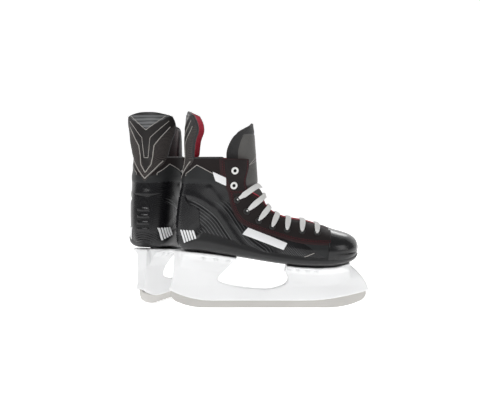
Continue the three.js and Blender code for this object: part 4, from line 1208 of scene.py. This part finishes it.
def heel_cup(side):
    """The moulded cup round the heel, with rings at its foot."""
    t = np.linspace(8.9, 12.1, 90)
    half = 1.15 - 0.55 * smoothstep(t, 10.6, 12.1)
    angle = math.pi + half[:, None] * np.linspace(-1, 1, 110)
    t_grid = np.broadcast_to(t[:, None], angle.shape)
    flat = face_point(t_grid, angle)
    z, y = flat[..., 2], flat[..., 1]
    rings = 0.45 * np.cos((z + 0.02 * y * y) * 2 * math.pi / 3.6)
    rings *= smoothstep(z, 117, 112) * smoothstep(z, 97, 100)
    blocks = 0.7 * smoothstep(np.cos((z - 131) * 2 * math.pi / 10.5), 0.2, 0.6)
    blocks *= smoothstep(np.abs(y), 10, 8.5) * smoothstep(z, 118, 121) * smoothstep(z, 160, 156)
    outer = off_face(t_grid, angle, 1.5 + rings + blocks)
    inner = off_face(t_grid, angle, np.full(angle.shape, 0.2))
    values = {key: np.zeros(angle.shape) for key in (
        "fan", "fan_share", "stripe", "stripe_share", "ankle", "upper",
    )}
    points, faces, kinds, values = panel(outer, inner, rim=4, values=values)
    make_piece("heel_cup", side, points, faces, [COMPOSITE], f"{side}_boot",
               np.zeros(len(kinds)), values, replaces=("heel_cup",))


def steel_edge(x):
    flat_rear, flat_front = 0.157 * BOOT_LENGTH, 0.818 * BOOT_LENGTH
    rear = np.maximum(0, (flat_rear - x) / (flat_rear - RUNNER_REAR))
    front = np.maximum(0, (x - flat_front) / (RUNNER_FRONT - flat_front))
    from_end = np.clip(np.minimum(x - RUNNER_REAR, RUNNER_FRONT - x) / RUNNER_ROUND, 0, 1)
    corner = RUNNER_ROUND * (1 - np.sqrt(1 - (1 - from_end) ** 2))
    return RUNNER_LIFT * (0.55 * rear**2.2 + 0.62 * front**2.4) + 0.8 * corner


def holder_edge(x):
    rear_start, front_start = 0.157 * BOOT_LENGTH + 10, 0.818 * BOOT_LENGTH - 30
    rear = np.maximum(0, (rear_start - x) / (rear_start - RUNNER_REAR))
    front = np.maximum(0, (x - front_start) / (RUNNER_FRONT - front_start))
    return 11 + 0.62 * RUNNER_LIFT * (rear**2 + front**1.8)


def runner(side):
    """The steel, with a hollow-ground edge."""
    x = np.concatenate([
        RUNNER_REAR + 8 * (1 - np.cos(np.linspace(0, math.pi / 2, 10))), np.linspace(2, 280, 150),
        RUNNER_FRONT - 8 * (1 - np.cos(np.linspace(math.pi / 2, 0, 10))),
    ])
    x = np.unique(np.clip(x, RUNNER_REAR, RUNNER_FRONT))
    low = steel_edge(x)
    high = holder_edge(x) + 7
    half = RUNNER_THICKNESS / 2
    loops = []
    for place, bottom, top in zip(x, low, high):
        section = [
            (-half, bottom + 0.05), (-half + 0.15, bottom), (0, bottom + 0.28), (half - 0.15, bottom),
            (half, bottom + 0.05), (half, bottom + 4), (half, top), (-half, top), (-half, bottom + 4),
        ]
        loops.append([(place, y, z) for y, z in section])
    points = np.array(loops)
    count, sides = points.shape[:2]
    index = np.arange(count * sides).reshape(count, sides)
    after = np.roll(index, -1, axis=1)
    faces = np.stack([index[:-1], after[:-1], after[1:], index[1:]], -1).reshape(-1, 4)
    if volume_of(points.reshape(-1, 3), faces) < 0:
        faces = faces[:, ::-1]
        caps = [index[0].tolist(), index[-1][::-1].tolist()]
    else:
        caps = [index[0][::-1].tolist(), index[-1].tolist()]
    piece = make_piece("runner", side, points.reshape(-1, 3), faces.tolist() + caps, [STEEL],
                       f"{side}_boot", replaces=("runner",))
    bevel = piece.modifiers.new("edges", "BEVEL")
    bevel.width = 0.00012
    bevel.limit_method = "ANGLE"
    piece.data.shade_flat()


def holder(side):
    """The moulded holder: the CAD form with every edge rounded, as a moulding has."""
    source = bpy.data.objects[f"{side}_holder"]
    work = bpy.data.objects.new("holder_work", source.data.copy())
    bpy.context.collection.objects.link(work)
    remesh = work.modifiers.new("remesh", "REMESH")
    remesh.mode = "VOXEL"
    remesh.voxel_size = 0.0012
    smooth = work.modifiers.new("smooth", "SMOOTH")
    smooth.factor = 0.5
    smooth.iterations = 9
    bpy.context.view_layer.update()
    made = work.evaluated_get(bpy.context.evaluated_depsgraph_get()).to_mesh()
    points = np.array([v.co for v in made.vertices])
    faces = [tuple(p.vertices) for p in made.polygons]
    bpy.data.objects.remove(work)
    local = points * 1000 - RIGHT_PLACE
    if side == "left":
        local = local - LEFT_PLACE
        cos, sin = math.cos(LEFT_ANGLE), math.sin(LEFT_ANGLE)
        x, y = cos * local[:, 0] + sin * local[:, 1], -sin * local[:, 0] + cos * local[:, 1]
        local = np.stack([x, -y, local[:, 2]], -1)
        faces = [face[::-1] for face in faces]
    make_piece("holder", side, local, faces, [NYLON], f"{side}_boot", replaces=("holder",))


def rivets(side):
    """Rivet heads under the holder's flanges."""
    parts = []
    profile = [(0, 1.5), (1.5, 1.4), (2.7, 0.9), (3.4, 0.1), (3.5, -1.5)]
    for shares, half in (((0.15, 0.215, 0.28), 0.17), ((0.615, 0.665, 0.715, 0.765), 0.2)):
        for share in shares:
            for sign in (-1, 1):
                x = share * BOOT_LENGTH
                place = (x, sign * half * BOOT_WIDTH, float(sole_height(x)) - 4.3)
                parts.append(turned(profile, place, (0, 0, -1), 20))
    points, faces, values = gather(parts)
    make_piece("rivet_heads", side, points, faces, [RIVET], f"{side}_boot", values=values,
               replaces=("rear_rivets", "front_rivets"))


# ---- marks on the quarter -----------------------------------------------------------------------------

def surface_finder():
    """Finds the section and angle of the medial face's point at [x, z] in the side view."""
    t, angle = np.meshgrid(np.linspace(2.5, COLLAR, 420), np.linspace(0.25, 2.7, 260), indexing="ij")
    points = face_point(t, angle)
    flat = points[..., [0, 2]].reshape(-1, 2)
    places = np.stack([t.ravel(), angle.ravel()], -1)

    def find(x, z):
        away = (flat[:, 0] - x) ** 2 + (flat[:, 1] - z) ** 2
        nearest = np.argpartition(away, 4)[:4]
        weight = 1 / (away[nearest] + 1e-3)
        return (places[nearest] * weight[:, None]).sum(axis=0) / weight.sum()

    return find


FIND = surface_finder()


def side_line(outline, sign, lift, count):
    line = resample(outline, count)
    places = np.array([FIND(x, z) for x, z in line])
    angle = sign * places[:, 1]
    raised = lift + swoop_height(face_point(places[:, 0], angle))
    return off_face(places[:, 0], angle, raised), face_normal(places[:, 0], angle)


def side_plate(corners, sign, lift, rows=5, columns=40):
    """A thin plate on the boot's side, between four [x, z] corners."""
    corners = np.asarray(corners, float)
    up, along = np.meshgrid(np.linspace(0, 1, rows), np.linspace(0, 1, columns), indexing="ij")
    top = corners[0] + (corners[1] - corners[0]) * along[..., None]
    bottom = corners[3] + (corners[2] - corners[3]) * along[..., None]
    flat = top + (bottom - top) * up[..., None]
    places = np.array([FIND(x, z) for x, z in flat.reshape(-1, 2)]).reshape(rows, columns, 2)
    angle = sign * places[..., 1]
    raised = lift + swoop_height(face_point(places[..., 0], angle))
    outer = off_face(places[..., 0], angle, raised)
    inner = off_face(places[..., 0], angle, raised - 1.2)
    points, faces, _, _ = panel(outer, inner, rim=3)
    return points, faces.tolist(), {"along": np.zeros(len(points))}


def marks(side):
    """Plain white plates and pale lines on both sides of the boot."""
    plates, lines = [], []
    for sign in (-1, 1):
        plates.append(side_plate([[110, 127], [169, 103.5], [163.5, 95], [102, 118]], sign, 1.9))
        plates.append(side_plate([[57, 212], [76, 203], [76, 192], [61, 199]], sign, 1.9, columns=16))
        for k in range(5):
            x = 8 + 4.4 * k
            bar = [[x, 123], [x + 2.4, 122.4], [x + 8.4, 103.4], [x + 6, 104]]
            plates.append(side_plate(bar, sign, 2.6, rows=12, columns=6))
        for outline, width in (
            ([[12, 206], [32.5, 222.5], [60, 208], [94, 189]], 0.55),
            ([[188, 80.8], [210, 89.5]], 0.5),
        ):
            path, ups = side_line(outline, sign, 0.35, 80)
            lines.append(swept(path, ups, round_ring(1, 8) * [width, 0.4]))
    points, faces, values = gather(plates)
    make_piece("badges", side, points, faces, [BADGE], f"{side}_boot", values=values)
    points, faces, values = gather(lines)
    make_piece("side_lines", side, points, faces, [PIPING], f"{side}_boot", values=values)


# ---- making ---------------------------------------------------------------------------------------

set_camera()
set_light()
set_floor()

COMPOSITE = composite_material()
CAP = cap_material()
SOLE = sole_material()
FACING = facing_material()
RED_THREAD = thread_material("red_thread", (0.20, 0.014, 0.028))
PIPING = thread_material("pale_piping", (0.55, 0.52, 0.49))
LINING = lining_material()
FELT = felt_material()
TONGUE_FACE = tongue_face_material()
GUARD_CLOTH = guard_material()
BADGE = badge_material()
LACE = lace_material()
NYLON = holder_material()
STEEL = steel_material()
RIVET = metal_material("rivet_steel", (0.10, 0.10, 0.10), (0.32, 0.31, 0.30), 0.35, 1.0)
EYELET_BLACK = metal_material("eyelet_black", (0.010, 0.010, 0.010), (0.05, 0.05, 0.05), 0.25, 0.3)
EYELET_WHITE = metal_material("eyelet_white", (0.78, 0.78, 0.76), (0.90, 0.90, 0.88), 0.28, 0.0)
# Near-black and rough: painted shade for the inside of the eyelet holes, not a real material of the skate.
PAINTED_HOLE_SHADE = metal_material("eyelet_hole_painted_shade", (0.002, 0.002, 0.002), (0.006, 0.006, 0.006), 0.8, 0.0)

for SIDE in ("right", "left"):
    quarter(SIDE)
    toe_cap(SIDE)
    facing(SIDE, "lateral_facing", -1)
    facing(SIDE, "medial_facing", 1)
    vamp(SIDE)
    facing_stitches(SIDE)
    throat_piping(SIDE)
    lining(SIDE)
    tongue(SIDE)
    tendon_guard(SIDE)
    eyelets(SIDE, "lateral_eyelets", -1)
    eyelets(SIDE, "medial_eyelets", 1)
    lace(SIDE)
    outsole(SIDE)
    heel_cup(SIDE)
    runner(SIDE)
    holder(SIDE)
    rivets(SIDE)
    marks(SIDE)
    for node, material in (("footbed", FELT), ("rear_bolt", RIVET), ("front_bolt", RIVET)):
        kept = bpy.data.objects[f"{SIDE}_{node}"]
        for slot in kept.material_slots:
            slot.material = material
